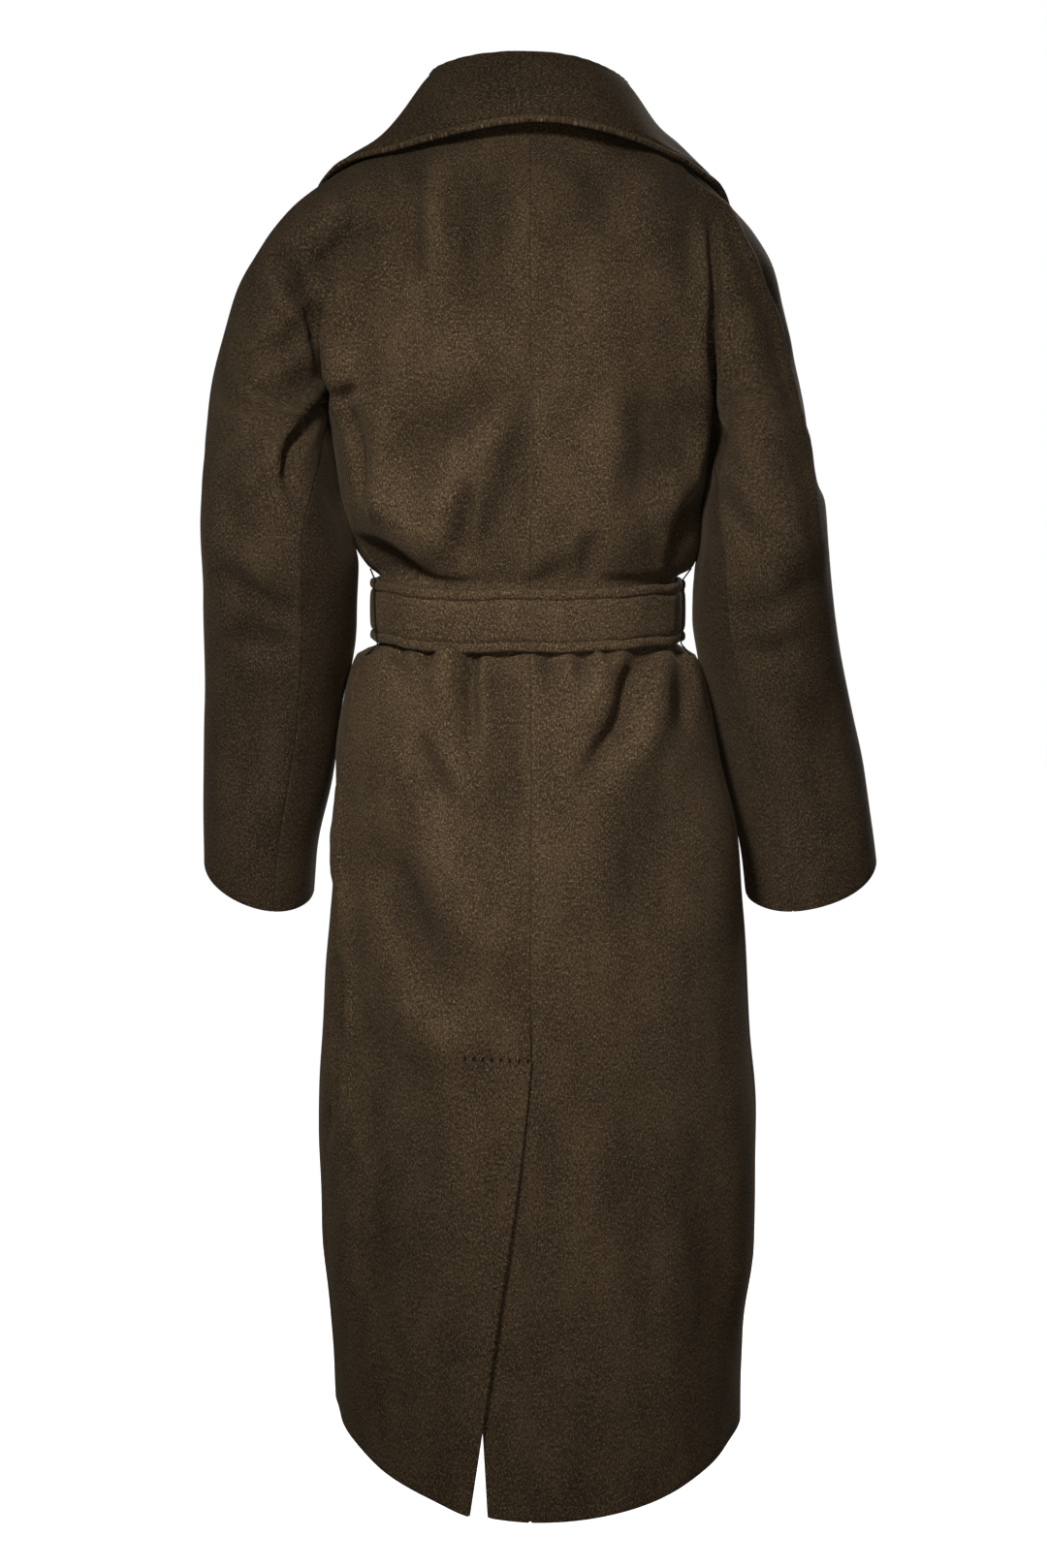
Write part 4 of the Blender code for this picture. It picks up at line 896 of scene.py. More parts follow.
UPPER_Z = levels(0.0, NECK_ROWS, SHOULDER_Z, BLADE_ROWS, ARMPIT_Z)
RIB_Z = levels(ARMPIT_Z, 1, GUSSET_Z, RIB_ROWS, BELT_TOP + BELT_FLARE, FLARE_ROWS, BELT_TOP)
HIPS_Z = levels(BELT_LOW, FLARE_ROWS, BELT_LOW - BELT_FLARE, HIP_ROWS, HIP_Z)
SKIRT_Z = levels(HIP_Z, SKIRT_ROWS, VENT_ROW_Z, VENT_ROWS, HEM_Z)
BODY_Z = np.concatenate([RIB_Z, [BELT_Z], HIPS_Z, SKIRT_Z[1:]])
SLEEVE_Z = levels(ARMPIT_Z, 1, GUSSET_Z, SLEEVE_ROWS, CUFF_Z)
VENT_ROW = int(np.argmin(np.abs(BODY_Z - VENT_ROW_Z)))


Grid = namedtuple("Grid", "points cut numbers")


def numbered(grid):
    """Numbers of a grid's points, in its own form."""
    return np.arange(grid[..., 0].size).reshape(grid.shape[:-1])


def closed_up(grid):
    """A grid with its first row and its first column again at its ends."""
    rows = np.concatenate([grid, grid[:1]])
    return np.concatenate([rows, rows[:, :1]], 1)


class Sheet:
    """One cloth panel: its outer points, cut coordinates, faces and seam edges."""

    def __init__(self, name, turned, offset=0.0):
        self.name = name
        self.turned = turned
        self.offset = offset
        self.points = np.empty((0, 3))
        self.cut = np.empty((0, 2))
        self.faces = np.empty((0, 4), int)
        self.sleeve = np.empty(0, bool)
        self.seams = []
        self.rows = {}

    def add(self, points, cut, sleeve=False):
        """Add a grid of points; return the grid of their numbers."""
        first = len(self.points)
        count = points[..., 0].size
        self.points = np.concatenate([self.points, points.reshape(-1, 3)])
        self.cut = np.concatenate([self.cut, cut.reshape(-1, 2) + [self.offset, 0]])
        self.sleeve = np.append(self.sleeve, np.full(count, sleeve))
        return first + numbered(points)

    def loft(self, grid):
        """Faces between the rows of a grid."""
        corners = [grid[:-1, :-1], grid[:-1, 1:], grid[1:, 1:], grid[1:, :-1]]
        faces = np.stack(corners[::-1] if self.turned else corners, -1).reshape(-1, 4)
        self.faces = np.concatenate([self.faces, faces])

    def seam(self, edge, inside):
        """Note a seam edge and the points beside it."""
        self.seams.append((np.ravel(edge), np.ravel(inside)))

    def seam_points(self):
        return np.concatenate([edge for edge, _ in self.seams])

    def groove(self):
        """How far each point sinks into a seam's groove."""
        sink = np.zeros(len(self.points))
        for edge, inside in self.seams:
            wide = np.linalg.norm(self.points[edge] - self.points[inside], axis=1)
            deep = np.minimum(SEAM_SINK, wide)
            sink[inside] = np.minimum(sink[inside], -deep * SEAM_SIDE)
            sink[edge] = -deep
        return sink


def cut_grid(grid, across=0.0, down=0.0):
    """Cut coordinates of a grid: the distance across from each row's start, and the way down."""
    steps = np.linalg.norm(np.diff(grid, axis=1), axis=2)
    over = np.concatenate([np.zeros((len(grid), 1)), np.cumsum(steps, 1)], 1)
    fall = np.linalg.norm(np.diff(grid, axis=0), axis=2).mean(1)
    way = down - np.concatenate([[0.0], np.cumsum(fall)])
    return np.stack([over + np.reshape(across, (-1, 1)), np.tile(way[:, None], (1, grid.shape[1]))], -1)


def row_starts(side, face, level):
    """Distances across from the middle at which the rows of a half panel start."""
    if face == "front":
        return EDGE_AT("across", level)
    vent = VENT_AT("upper", hem_level(side, 0.0, level))
    return np.where((side == "left") & (level <= VENT_ROW_Z), vent, 0.0)


def run_on(sheet, top, columns, rows, across, sleeve=False):
    """Add rows that run on below some columns of a grid, and return them with the row above."""
    points = np.concatenate([top.points[-1:, columns], rows])
    cut = cut_grid(points, across, top.cut[-1, columns][0, 1])
    numbers = np.vstack([top.numbers[-1:, columns], sheet.add(points[1:], cut[1:], sleeve)])
    sheet.loft(numbers)
    return Grid(points, cut, numbers)


def add_underlap(sheet, body):
    """Underlap of the vent, beside the right back's centre edge."""
    level = BODY_Z[VENT_ROW:]
    rows = np.array([underlap_row(z) for z in level])
    cut = cut_grid(rows, -VENT_AT("under", level), body.cut[VENT_ROW, 0, 1])
    sheet.loft(np.hstack([sheet.add(rows[:, :-1], cut[:, :-1]), body.numbers[VENT_ROW:, :1]]))


def half_panel(side, face):
    """Half of the back or the front, cut in one with its half of the sleeve."""
    place = PANEL_PLACE[side] + PANEL_PLACE[face]
    sheet = Sheet(face + "_" + side, SIDES[side] * FACES[face] < 0, place)
    rows = np.array([merged_row(side, face, z) for z in UPPER_Z])
    cut = cut_grid(rows, row_starts(side, face, UPPER_Z))
    top = Grid(rows, cut, sheet.add(rows, cut))
    sheet.loft(top.numbers)
    starts = row_starts(side, face, BODY_Z)
    rows = [body_row(side, face, z, start) for z, start in zip(BODY_Z[1:], starts[1:])]
    low = run_on(sheet, top, slice(BODY_LAST + 1), rows, starts)
    turns = np.radians(SLEEVE_AT[side]("under", SLEEVE_Z[1:]))
    rows = [sleeve_row(side, FACES[face] * sleeve_turns(turn), z) for z, turn in zip(SLEEVE_Z[1:], turns)]
    arm = run_on(sheet, top, slice(BODY_LAST, None), rows, cut[-1, BODY_LAST, 0], sleeve=True)

    upper, body, sleeve = top.numbers, low.numbers, arm.numbers
    sheet.seam(body[1:, -1], body[1:, -2])
    sheet.seam(sleeve[1:, 0], sleeve[1:, 1])
    sheet.seam(upper[:, -1], upper[:, -2])
    sheet.seam(sleeve[1:, -1], sleeve[1:, -2])
    if face == "back":
        above = body[1:VENT_ROW] if side == "left" else body[1:]
        sheet.seam(upper[:, 0], upper[:, 1])
        sheet.seam(above[:, 0], above[:, 1])
    if sheet.name == "back_right":
        add_underlap(sheet, low)
    sheet.rows = {
        "top": upper[0],
        "edge": np.append(upper[:, 0], body[1:, 0]),
        "beside": np.append(upper[:, EDGE_INSET], body[1:, EDGE_INSET]),
        "armpit": upper[-1:, BODY_LAST],
        "gusset": body[1, -1],
        "vent": body[VENT_ROW],
    }
    return sheet


def under_sleeve(side, back, front):
    """Wedge under the arm; its tip reaches over the armpit to the top of the side seam."""
    sheet = Sheet("under_sleeve_" + side, side == "left", UNDER_PLACE[side])
    ends = [panel.points[panel.rows["armpit"][0]] for panel in (back, front)]
    shares = crowd_ends(np.linspace(0, 1, UNDER_COLUMNS + 1), TIP_CROWD)
    rows = [ends[0] + (ends[1] - ends[0]) * shares[:, None]]
    for z in SLEEVE_Z[1:]:
        turn = np.radians(SLEEVE_AT[side]("under", z))
        even = np.linspace(turn, 2 * np.pi - turn, UNDER_COLUMNS + 1)
        rows.append(sleeve_row(side, crowd_ends(even, SEAM_COLUMNS / SLEEVE_ROUND), z))
    rows = np.array(rows)
    tip = sheet.add(back.points[back.rows["gusset"]][None], np.zeros((1, 2)))
    grid = sheet.add(rows, cut_grid(rows), sleeve=True)
    sheet.rows = {"armpit": grid[0]}
    sheet.loft(np.vstack([np.repeat(tip, grid.shape[1]), grid]))
    sheet.seam(tip, grid[0, grid.shape[1] // 2])
    sheet.seam(grid[:, 0], grid[:, 1])
    sheet.seam(grid[:, -1], grid[:, -2])
    return sheet


def shared_normals(sheets):
    """Outward normals at the points of all panels, shared where panels meet at a seam."""
    points = np.concatenate([sheet.points for sheet in sheets])
    first = np.cumsum([0] + [len(sheet.points) for sheet in sheets])
    faces = np.concatenate([sheet.faces + start for sheet, start in zip(sheets, first)])
    _, place = np.unique(np.round(points, MEET_DIGITS), axis=0, return_inverse=True)
    place = place.ravel()
    a, b, c, d = (points[faces[:, k]] for k in range(4))
    normal = np.cross(c - a, d - b)
    total = np.zeros((place.max() + 1, 3))
    for corner in faces.T:
        np.add.at(total, place[corner], normal)
    normals = np.split(unit(total[place]), first[1:-1])
    for sheet, normal in zip(sheets, normals):
        normal[sheet.rows.get("armpit", [])] = (0, 0, -1)
    return normals


def waves(points, seed):
    """Low waves over points, from many directions, about 1 high at most."""
    random = np.random.default_rng(seed)
    ways = unit(random.normal(size=(UNEVEN_WAVES, 3)))
    long = np.exp(random.uniform(*np.log(UNEVEN_LENGTHS), UNEVEN_WAVES))
    start = random.uniform(0, 2 * np.pi, UNEVEN_WAVES)
    height = np.zeros(len(points))
    for way, length, begin in zip(ways, long, start):
        height += np.sin(points @ way * 2 * np.pi / length + begin)
    return height / np.sqrt(2 * UNEVEN_WAVES)


def fold_profile(off, fold):
    """Height across a fold, 1 along its line, with a low shoulder to either side."""
    wide = fold.width * np.where(off > 0, 1 + fold.lean, 1 - fold.lean)
    share = off / wide
    shoulder = np.exp(-((np.abs(share) - SHOULDER_AWAY) / SHOULDER_WIDE) ** 2)
    return np.exp(-share ** 2) - SHOULDER * shoulder


def fold_height(sheet):
    """Height of the table's folds and of the cloth's unevenness at points, flat under the belt."""
    x = sheet.points[:, 0] + WANDER * waves(sheet.points, UNEVEN_SEED + 1)
    z = sheet.points[:, 2] + WANDER * waves(sheet.points, UNEVEN_SEED + 2)
    y = sheet.points[:, 1]
    height = np.zeros(len(x))
    parts = {"sleeve": sheet.sleeve, "body": ~sheet.sleeve, "all": True}
    for fold in FOLDS:
        line = np.array([fold.x_low - fold.x_top, fold.z_low - fold.z_top])
        long = np.hypot(*line)
        way = np.stack([x - fold.x_top, z - fold.z_top], -1)
        share = way @ line / long ** 2
        off = way @ [-line[1], line[0]] / long
        off = off - fold.bend * 4 * np.clip(share * (1 - share), 0, None)
        ends = ease(share, *FADE_IN) * ease(share, *FADE_OUT)
        on_face = ease(FACES[fold.face] * y, *FADE_SIDE)
        height += parts[fold.part] * fold.height * fold_profile(off, fold) * ends * on_face
    height += UNEVEN_HEIGHT * waves(sheet.points, UNEVEN_SEED)
    unbelted = ease(np.abs(sheet.points[:, 2] - BELT_Z), BELT_WIDTH / 2, BELT_WIDTH / 2 + FOLD_EASE)
    return height * np.where(sheet.sleeve, 1, unbelted)


def lap_height(name, points):
    """How far a panel is lifted where it laps over another."""
    x, _, z = points.T
    if name == "back_left":
        under = VENT_AT("under", z)
        lapped = ease(x, under + LAP_EASE, under + LAP_SPARE)
        lifted = VENT_LIFT * ease(x - VENT_AT("upper", z), LAP_EASE, 0) * ease(z, *VENT_LIFT_Z)
        return LAP * lapped * ease(z, VENT_Z + LAP_EASE, VENT_Z + LAP_SPARE) + lifted
    if name == "front_right":
        edge = EDGE_AT("across", z)
        seam = body_point("right", np.radians(SEAM_AT("right", z)), z)[:, 0]
        lapped = ease(x, np.maximum(edge - LAP_EASE, seam), edge - LAP_SPARE / 2)
        off = ((x - CROSSING[0]) ** 2 + (z - CROSSING[1]) ** 2) / CROSSING_REACH ** 2
        return lapped * (FRONT_LAP + CROSSING_LIFT * np.exp(-off))
    return np.zeros(len(points))


def painted_shading(sheet):
    """Painted shade and highlight kept in the wool's colour: darker in hollows, on the sleeves, the under
    sleeves and over the shoulders, lighter on ridges.
    """
    x, _, z = sheet.smooth.T
    # Painted shade on the sleeves, past their inner edges and above the cuffs
    inner = np.where(x > 0, SLEEVE_AT["left"]("inner", z), SLEEVE_AT["right"]("inner", z))
    sleeve = ease(np.abs(x) - inner, -SLEEVE_SHADE_EASE, SLEEVE_SHADE_EASE) * (z > CUFF_Z - CUFF_BACK_DROP)
    # Painted highlight on the ridges of the folds and painted shade in their hollows
    lie = SMOOTH_PAINTED_SHADE + (1 - SMOOTH_PAINTED_SHADE) * ease(sheet.fold, 0, RIDGE_HIGH)
    lie -= (SMOOTH_PAINTED_SHADE - HOLLOW_PAINTED_SHADE) * ease(-sheet.fold, 0, HOLLOW_DEEP)
    lie *= 1 - (1 - SLEEVE_PAINTED_SHADE) * sleeve
    # Painted shadow on the upper part of the under sleeves
    if sheet.name.startswith("under_sleeve"):
        lie *= 1 - (1 - UNDER_SLEEVE_PAINTED_SHADE) * ease(z, *UNDER_SLEEVE_SHADE_Z)
    # Painted shade over the shoulders, darker towards the top
    return lie * (1 - (1 - SHOULDER_PAINTED_SHADE) * ease(z, *SHOULDER_SHADE_Z))


def make_panels():
    """All panels of the shell with their folds, laps and seams."""
    halves = {(side, face): half_panel(side, face) for side in SIDES for face in FACES}
    unders = [under_sleeve(side, halves[side, "back"], halves[side, "front"]) for side in SIDES]
    sheets = list(halves.values()) + unders
    for sheet, normals in zip(sheets, shared_normals(sheets)):
        sheet.fold = fold_height(sheet)
        height = sheet.fold + lap_height(sheet.name, sheet.points)
        sheet.points = sheet.points + normals * height[:, None]
    for sheet, normals in zip(sheets, shared_normals(sheets)):
        sheet.normals = normals
        sheet.smooth = sheet.points
        sheet.points = sheet.points + normals * sheet.groove()[:, None]
    return {sheet.name: sheet for sheet in sheets}


def add_object(name, data):
    """New object of the scene that holds some data."""
    holder = bpy.data.objects.new(name, data)
    bpy.context.scene.collection.objects.link(holder)
    return holder


def aim(holder, place, target):
    """Set a lamp or camera down and turn it to a target; return the way to it."""
    holder.location = place
    way = Vector(target) - holder.location
    holder.rotation_euler = way.to_track_quat("-Z", "Y").to_euler()
    return way


def new_node(tree, kind, settings, values):
    """New node of a tree: its kind, its settings, then values and links for its inputs."""
    node = tree.nodes.new(kind)
    for key, value in settings.items():
        setattr(node, key, value)
    for key, value in values.items():
        put(tree, node.inputs[key], value)
    return node


def put(tree, socket, value):
    """Link a value's socket to an input, or set the value there."""
    if isinstance(value, bpy.types.NodeSocket):
        tree.links.new(value, socket)
    else:
        socket.default_value = value


def add_piece(name, points, faces, cut, material, lie=1.0):
    """New smooth mesh object with its cut coordinates as a UV map and its painted shade as the 'lie'
    attribute.
    """
    mesh = bpy.data.meshes.new(name)
    mesh.from_pydata(points.tolist(), [], [tuple(dict.fromkeys(face)) for face in faces.tolist()])
    mesh.materials.append(material)
    corners = np.empty(len(mesh.loops), np.int32)
    mesh.loops.foreach_get("vertex_index", corners)
    mesh.uv_layers.new(name="cut").data.foreach_set("uv", cut[corners].astype(np.float32).ravel())
    mesh.polygons.foreach_set("use_smooth", np.ones(len(mesh.polygons), bool))
    # The 'lie' attribute holds painted shade: the share of the wool's colour kept at each point
    nap = np.broadcast_to(np.float32(lie), len(points))
    mesh.attributes.new("lie", "FLOAT", "POINT").data.foreach_set("value", nap)
    return add_object(name, mesh)


def open_edges(faces, count):
    """Edges that belong to one face only, by the numbers of their ends."""
    ends = np.stack([faces, np.roll(faces, -1, 1)], -1).reshape(-1, 2)
    ends = ends[ends[:, 0] != ends[:, 1]]
    return ends[~np.isin(ends @ [count, 1], ends @ [1, count])]


def ways_out(outer, normals, ends):
    """Directions out of the cloth at the ends of its open edges."""
    outward = np.zeros((len(outer), 3))
    way = outer[ends[:, 1]] - outer[ends[:, 0]]
    for corner in ends.T:
        np.add.at(outward, corner, np.cross(way, normals[corner]))
    return unit(outward)


def add_wall(name, outer, normals, faces, cut, wall, seam_points, material, lie=1.0):
    """Closed wall of cloth: an outer face, the same face moved in, and a rim round every open edge,
    rounded where the edge is free and flat along a seam."""
    count = len(outer)
    ends = open_edges(faces, count)
    rim = np.unique(ends)
    outward = ways_out(outer, normals, ends)
    outward[seam_points] = 0
    points, slots = [outer], [np.arange(count)]
    for turn in np.linspace(0, np.pi, RIM_STEPS + 2)[1:-1]:
        deep = normals[rim] * (1 - np.cos(turn)) - outward[rim] * np.sin(turn)
        slot = np.zeros(count, int)
        slot[rim] = count + (len(points) - 1) * len(rim) + np.arange(len(rim))
        points.append(outer[rim] - deep * wall / 2)
        slots.append(slot)
    inside = count + RIM_STEPS * len(rim)
    points.append(outer - normals * wall)
    slots.append(inside + np.arange(count))
    a, b = ends.T
    rims = [np.stack([s[b], s[a], t[a], t[b]], -1) for s, t in zip(slots, slots[1:])]
    all_faces = np.concatenate([faces, faces[:, ::-1] + inside] + rims)
    sources = np.concatenate([np.arange(count)] + [rim] * RIM_STEPS + [np.arange(count)])
    # Painted shade of each point, carried onto the rim and the inner face
    lie = np.broadcast_to(lie, count)[sources]
    return add_piece(name, np.concatenate(points), all_faces, cut[sources], material, lie)


def grid_sheet(grid, turned=False, offset=0.0):
    """Sheet of a single grid of points, with its normals."""
    sheet = Sheet("", turned, offset)
    sheet.loft(sheet.add(grid, cut_grid(grid)))
    sheet.normals = shared_normals([sheet])[0]
    return sheet


def bezier(a, b, c, d, count):
    """Points that divide a cubic curve into a number of steps."""
    share = np.linspace(0, 1, count + 1)[:, None]
    rest = 1 - share
    return a * rest ** 3 + 3 * b * rest ** 2 * share + 3 * c * rest * share ** 2 + d * share ** 3


def refined(grid, times):
    """A grid with each step along its rows divided, on smooth curves through its points."""
    padded = np.concatenate([2 * grid[:1] - grid[1:2], grid, 2 * grid[-1:] - grid[-2:-1]])
    slope = (padded[2:] - padded[:-2]) / 2
    parts = []
    for share in np.linspace(0, 1, times, endpoint=False):
        rest = 1 - share
        near = grid[:-1] * (1 + 2 * share) * rest ** 2 + slope[:-1] * share * rest ** 2
        far = grid[1:] * (3 - 2 * share) * share ** 2 - slope[1:] * rest * share ** 2
        parts.append(near + far)
    fine = np.stack(parts, 1).reshape(-1, *grid.shape[1:])
    return np.concatenate([fine, grid[-1:]])


Ground = namedtuple("Ground", "tree normals")


def ground_of(sheets):
    """Several panels' outer faces without the grooves of their seams: a search tree and smooth normals."""
    points, faces, normals = [], [], []
    for sheet in sheets:
        faces.extend(tuple(dict.fromkeys(face)) for face in (sheet.faces + len(points)).tolist())
        points.extend(sheet.smooth.tolist())
        normals.append(unit(sheet.normals[sheet.faces].sum(1)))
    return Ground(BVHTree.FromPolygons(points, faces), np.concatenate(normals))


def lay_over(grid, ground, clear):
    """Move points out of the panels until they lie a clear distance over them."""
    laid = grid.copy()
    for index in np.ndindex(grid.shape[:-1]):
        nearest, _, face, _ = ground.tree.find_nearest(Vector(grid[index]))
        nearest, normal = np.array(nearest), ground.normals[face]
        if (grid[index] - nearest) @ normal < clear:
            laid[index] = nearest + normal * clear
    return laid


def neck_path(back, front):
    """Neck edge from the centre back and on down the front edge, with two directions at each point:
    the one in which the collar leaves the panels, and the one that points out of the coat."""
    above_belt = front.points[front.rows["edge"], 2] > BELT_TOP
    edge, beside = front.rows["edge"][above_belt], front.rows["beside"][above_belt]
    neck = np.concatenate([back.points[back.rows["top"]], front.points[front.rows["top"][:0:-1]]])
    line = np.concatenate([neck, front.points[edge]])
    up = np.tile([0.0, 0.0, 1.0], (len(neck), 1))
    leave = np.concatenate([up, unit(front.points[edge] - front.points[beside])])
    level = unit(neck * [1, 1, 0])
    out = np.concatenate([level, front.normals[edge]])
    return line, leave, out


def smoothed_along(values, steps, along):
    """Directions along a line, each the mean over a stretch to either side."""
    stretch = np.linspace(-TURN_REACH, TURN_REACH, TURN_STEPS)
    columns = [np.mean([np.interp(along + s, steps, column) for s in stretch], 0) for column in values.T]
    return unit(np.stack(columns, -1))


def collar_section(base, up, away, edge, stand, lean):
    """One section of the collar: up the stand, over the roll and down the fall to its edge."""
    base = base + up * SEAM_GAP
    top = base + up * stand + away * lean
    over = away * lean * ROLL
    rise = bezier(base, base + up * stand * STAND_UPRIGHT, top - over, top, STAND_COLUMNS)
    hang = edge + (top - edge) * FALL_HANG + away * FALL_SWELL
    fall = bezier(top, top + over, hang, edge, FALL_COLUMNS)
    return np.concatenate([rise, fall[1:]])


def collar_half(side, panels):
    """Sections of one half of the collar, from the centre back to the end of the lapel."""
    line, leave, out = neck_path(panels["back_" + side], panels["front_" + side])
    steps = lengths(line)
    last = COLLAR[side][-1].along
    along = np.linspace(0, last, int(last / COLLAR_STEP) + 1)
    at = COLLAR_AT[side]
    edge = np.stack([SIDES[side] * at("x", along), at("y", along), at("z", along)], -1)
    ways = smoothed_along(leave, steps, along), smoothed_along(out, steps, along)
    sections = zip(points_at(line, along), *ways, edge, at("stand", along), at("lean", along))
    return np.array([collar_section(*section) for section in sections])


def smooth_sections(grid, columns):
    """Draw each section of the collar towards the mean of its neighbours."""
    grid[1:-1, columns] = (grid[:-2, columns] + 2 * grid[1:-1, columns] + grid[2:, columns]) / 4


def collar_grid(panels):
    """Sections of the whole collar, from the left lapel to the right one, laid over the panels."""
    halves = {side: collar_half(side, panels) for side in SIDES}
    left, right = halves["left"], halves["right"]
    grid = np.concatenate([left[:0:-1], (left[:1] + right[:1]) / 2, right[1:]])
    backs = [panels["back_left"], panels["back_right"]]
    grounds = {side: ground_of(backs + [panels["front_" + side]]) for side in SIDES}

    def laid(points, clear):
        parts = np.split(points, [len(left)])
        return np.concatenate([lay_over(part, grounds[side], clear) for part, side in zip(parts, SIDES)])

    for _ in range(ROLL_ROUNDS):
        smooth_sections(grid, slice(1, None))
    fall = slice(STAND_COLUMNS + 1, None)
    for _ in range(SETTLE_ROUNDS):
        grid[:, fall] = laid(grid[:, fall], COLLAR_WALL + COLLAR_AIR)
        smooth_sections(grid, fall)
    grid[:, fall] = laid(grid[:, fall], COLLAR_WALL + COLLAR_AIR)
    for _ in range(SETTLE_ROUNDS):
        under = grid - grid_sheet(grid).normals.reshape(grid.shape) * COLLAR_WALL
        grid = grid + laid(under, LAP_AIR) - under
    return grid


def edge_steps(row):
    """Points of a collar section, closer towards its outer edge."""
    long = lengths(row)[-1]
    count = len(row)
    even = np.linspace(0, long - EDGE_COLUMNS[0], count, endpoint=False)
    return points_at(row, np.append(even, long - EDGE_COLUMNS))


def make_collar(panels, material):
    """Turned-down collar running on into both lapels, with a stitched channel inside its edge."""
    grid = refined(collar_grid(panels), COLLAR_FINER)
    grid = refined(grid.swapaxes(0, 1), COLLAR_FINER).swapaxes(0, 1)
    grid = np.array([edge_steps(row) for row in grid])
    sheet = grid_sheet(grid, offset=COLLAR_PLACE)
    steps = np.linalg.norm(np.diff(grid, axis=1), axis=2)
    inside = np.cumsum(np.append(steps, np.zeros((len(grid), 1)), 1)[:, ::-1], 1)[:, ::-1].ravel()
    deep = CHANNEL_DEEP * np.exp(-((inside - CHANNEL_IN) / CHANNEL_HALF) ** 2)
    uneven = UNEVEN_HEIGHT * waves(sheet.points, UNEVEN_SEED)
    outer = sheet.points + sheet.normals * (uneven - deep)[:, None]
    # Painted shade over the collar, lighter on its lip outside the stitched channel
    lie = COLLAR_PAINTED_SHADE + (LIP_PAINTED_HIGHLIGHT - COLLAR_PAINTED_SHADE) * ease(inside, CHANNEL_IN, CHANNEL_IN / 2)
    piece = add_wall("cloth_collar", outer, sheet.normals, sheet.faces, sheet.cut, COLLAR_WALL,
                     numbered(grid)[:, 0], material, lie)
    column = np.argmin(np.abs(EDGE_COLUMNS - CHANNEL_IN)) - len(EDGE_COLUMNS)
    path = outer.reshape(grid.shape)[:, column]
    out = sheet.normals.reshape(grid.shape)[:, column]
    shown = (path[:, 0] < 0) | (path[:, 2] > LAPEL_STITCH_LOW)
    return piece, (path[shown], out[shown])


def belt_base(angle):
    """Points of the cloth under the middle of the belt, and the way out from them."""
    points = body_point("left", angle, BELT_Z)
    along = np.roll(points, -1, 0) - np.roll(points, 1, 0)
    out = unit(np.stack([along[:, 1], -along[:, 0], 0 * angle], -1))
    out *= np.sign(np.sum(out * points, 1))[:, None]
    x, y, _ = points.T
    edge = EDGE_AT("across", BELT_Z)
    lapped = ease(x, edge - LAP_EASE, edge - LAP_SPARE) * ease(x, LAP_EASE - edge, LAP_SPARE - edge)
    return points + out * (FRONT_LAP * lapped * (y < 0))[:, None], out


def belt_section():
    """Smooth outline of the belt's section, in shares of its thickness and width."""
    return refined(np.array(BELT_SECTION), BELT_FINER)


def stitch_columns(section):
    """Columns of a belt section's outer face in which its two rows of stitches lie."""
    thick, wide = section.T
    off = [np.where(thick > BELT_FACE, np.abs(wide - row), np.inf) for row in (-BELT_STITCH, BELT_STITCH)]
    return np.argmin(off, 1)


def belt_flare():
    """How far the belt stands off the cloth under its middle."""
    widest = [BODY_AT(side, z) - BODY_AT(side, BELT_Z) for side in SIDES for z in (BELT_TOP, BELT_LOW)]
    return max(widest) + LAP_AIR


def make_belt(material):
    """Belt round the waist, with padded edges and a stitched groove beside each."""
    angle = np.linspace(0, 2 * np.pi, BELT_SIDES + 1)[:-1]
    points, out = belt_base(angle)
    section = belt_section()
    level = sum(high * np.sin(count * angle + count) for count, high in BELT_WAVES)
    level -= BELT_SAG * ease(points[:, 1], *BELT_SAG_DEPTHS)
    swell = sum(high * np.sin((count + SWELL_WAVES) * angle) for count, high in BELT_WAVES)
    rings = []
    for thick, wide in section:
        away = belt_flare() + thick * (BELT_THICK + swell)
        shift = np.stack([0 * angle, 0 * angle, wide * BELT_WIDTH + level], -1)
        rings.append(points + out * away[:, None] + shift)
    grid = np.stack(rings, 1)
    closed = closed_up(grid)
    cut = cut_grid(closed)[..., ::-1] + [BELT_PLACE, 0.0]
    sheet = Sheet("belt", True)
    sheet.loft(closed_up(numbered(grid)))
    piece = add_piece("cloth_belt", grid.reshape(-1, 3), sheet.faces, cut[:-1, :-1].reshape(-1, 2), material)
    ways = np.concatenate([out, out[:1]])
    paths = [(closed[:, column], ways) for column in stitch_columns(section)]
    front = points[np.argmin(points[:, 1])]
    return piece, paths, front[1] - belt_flare() - BELT_THICK


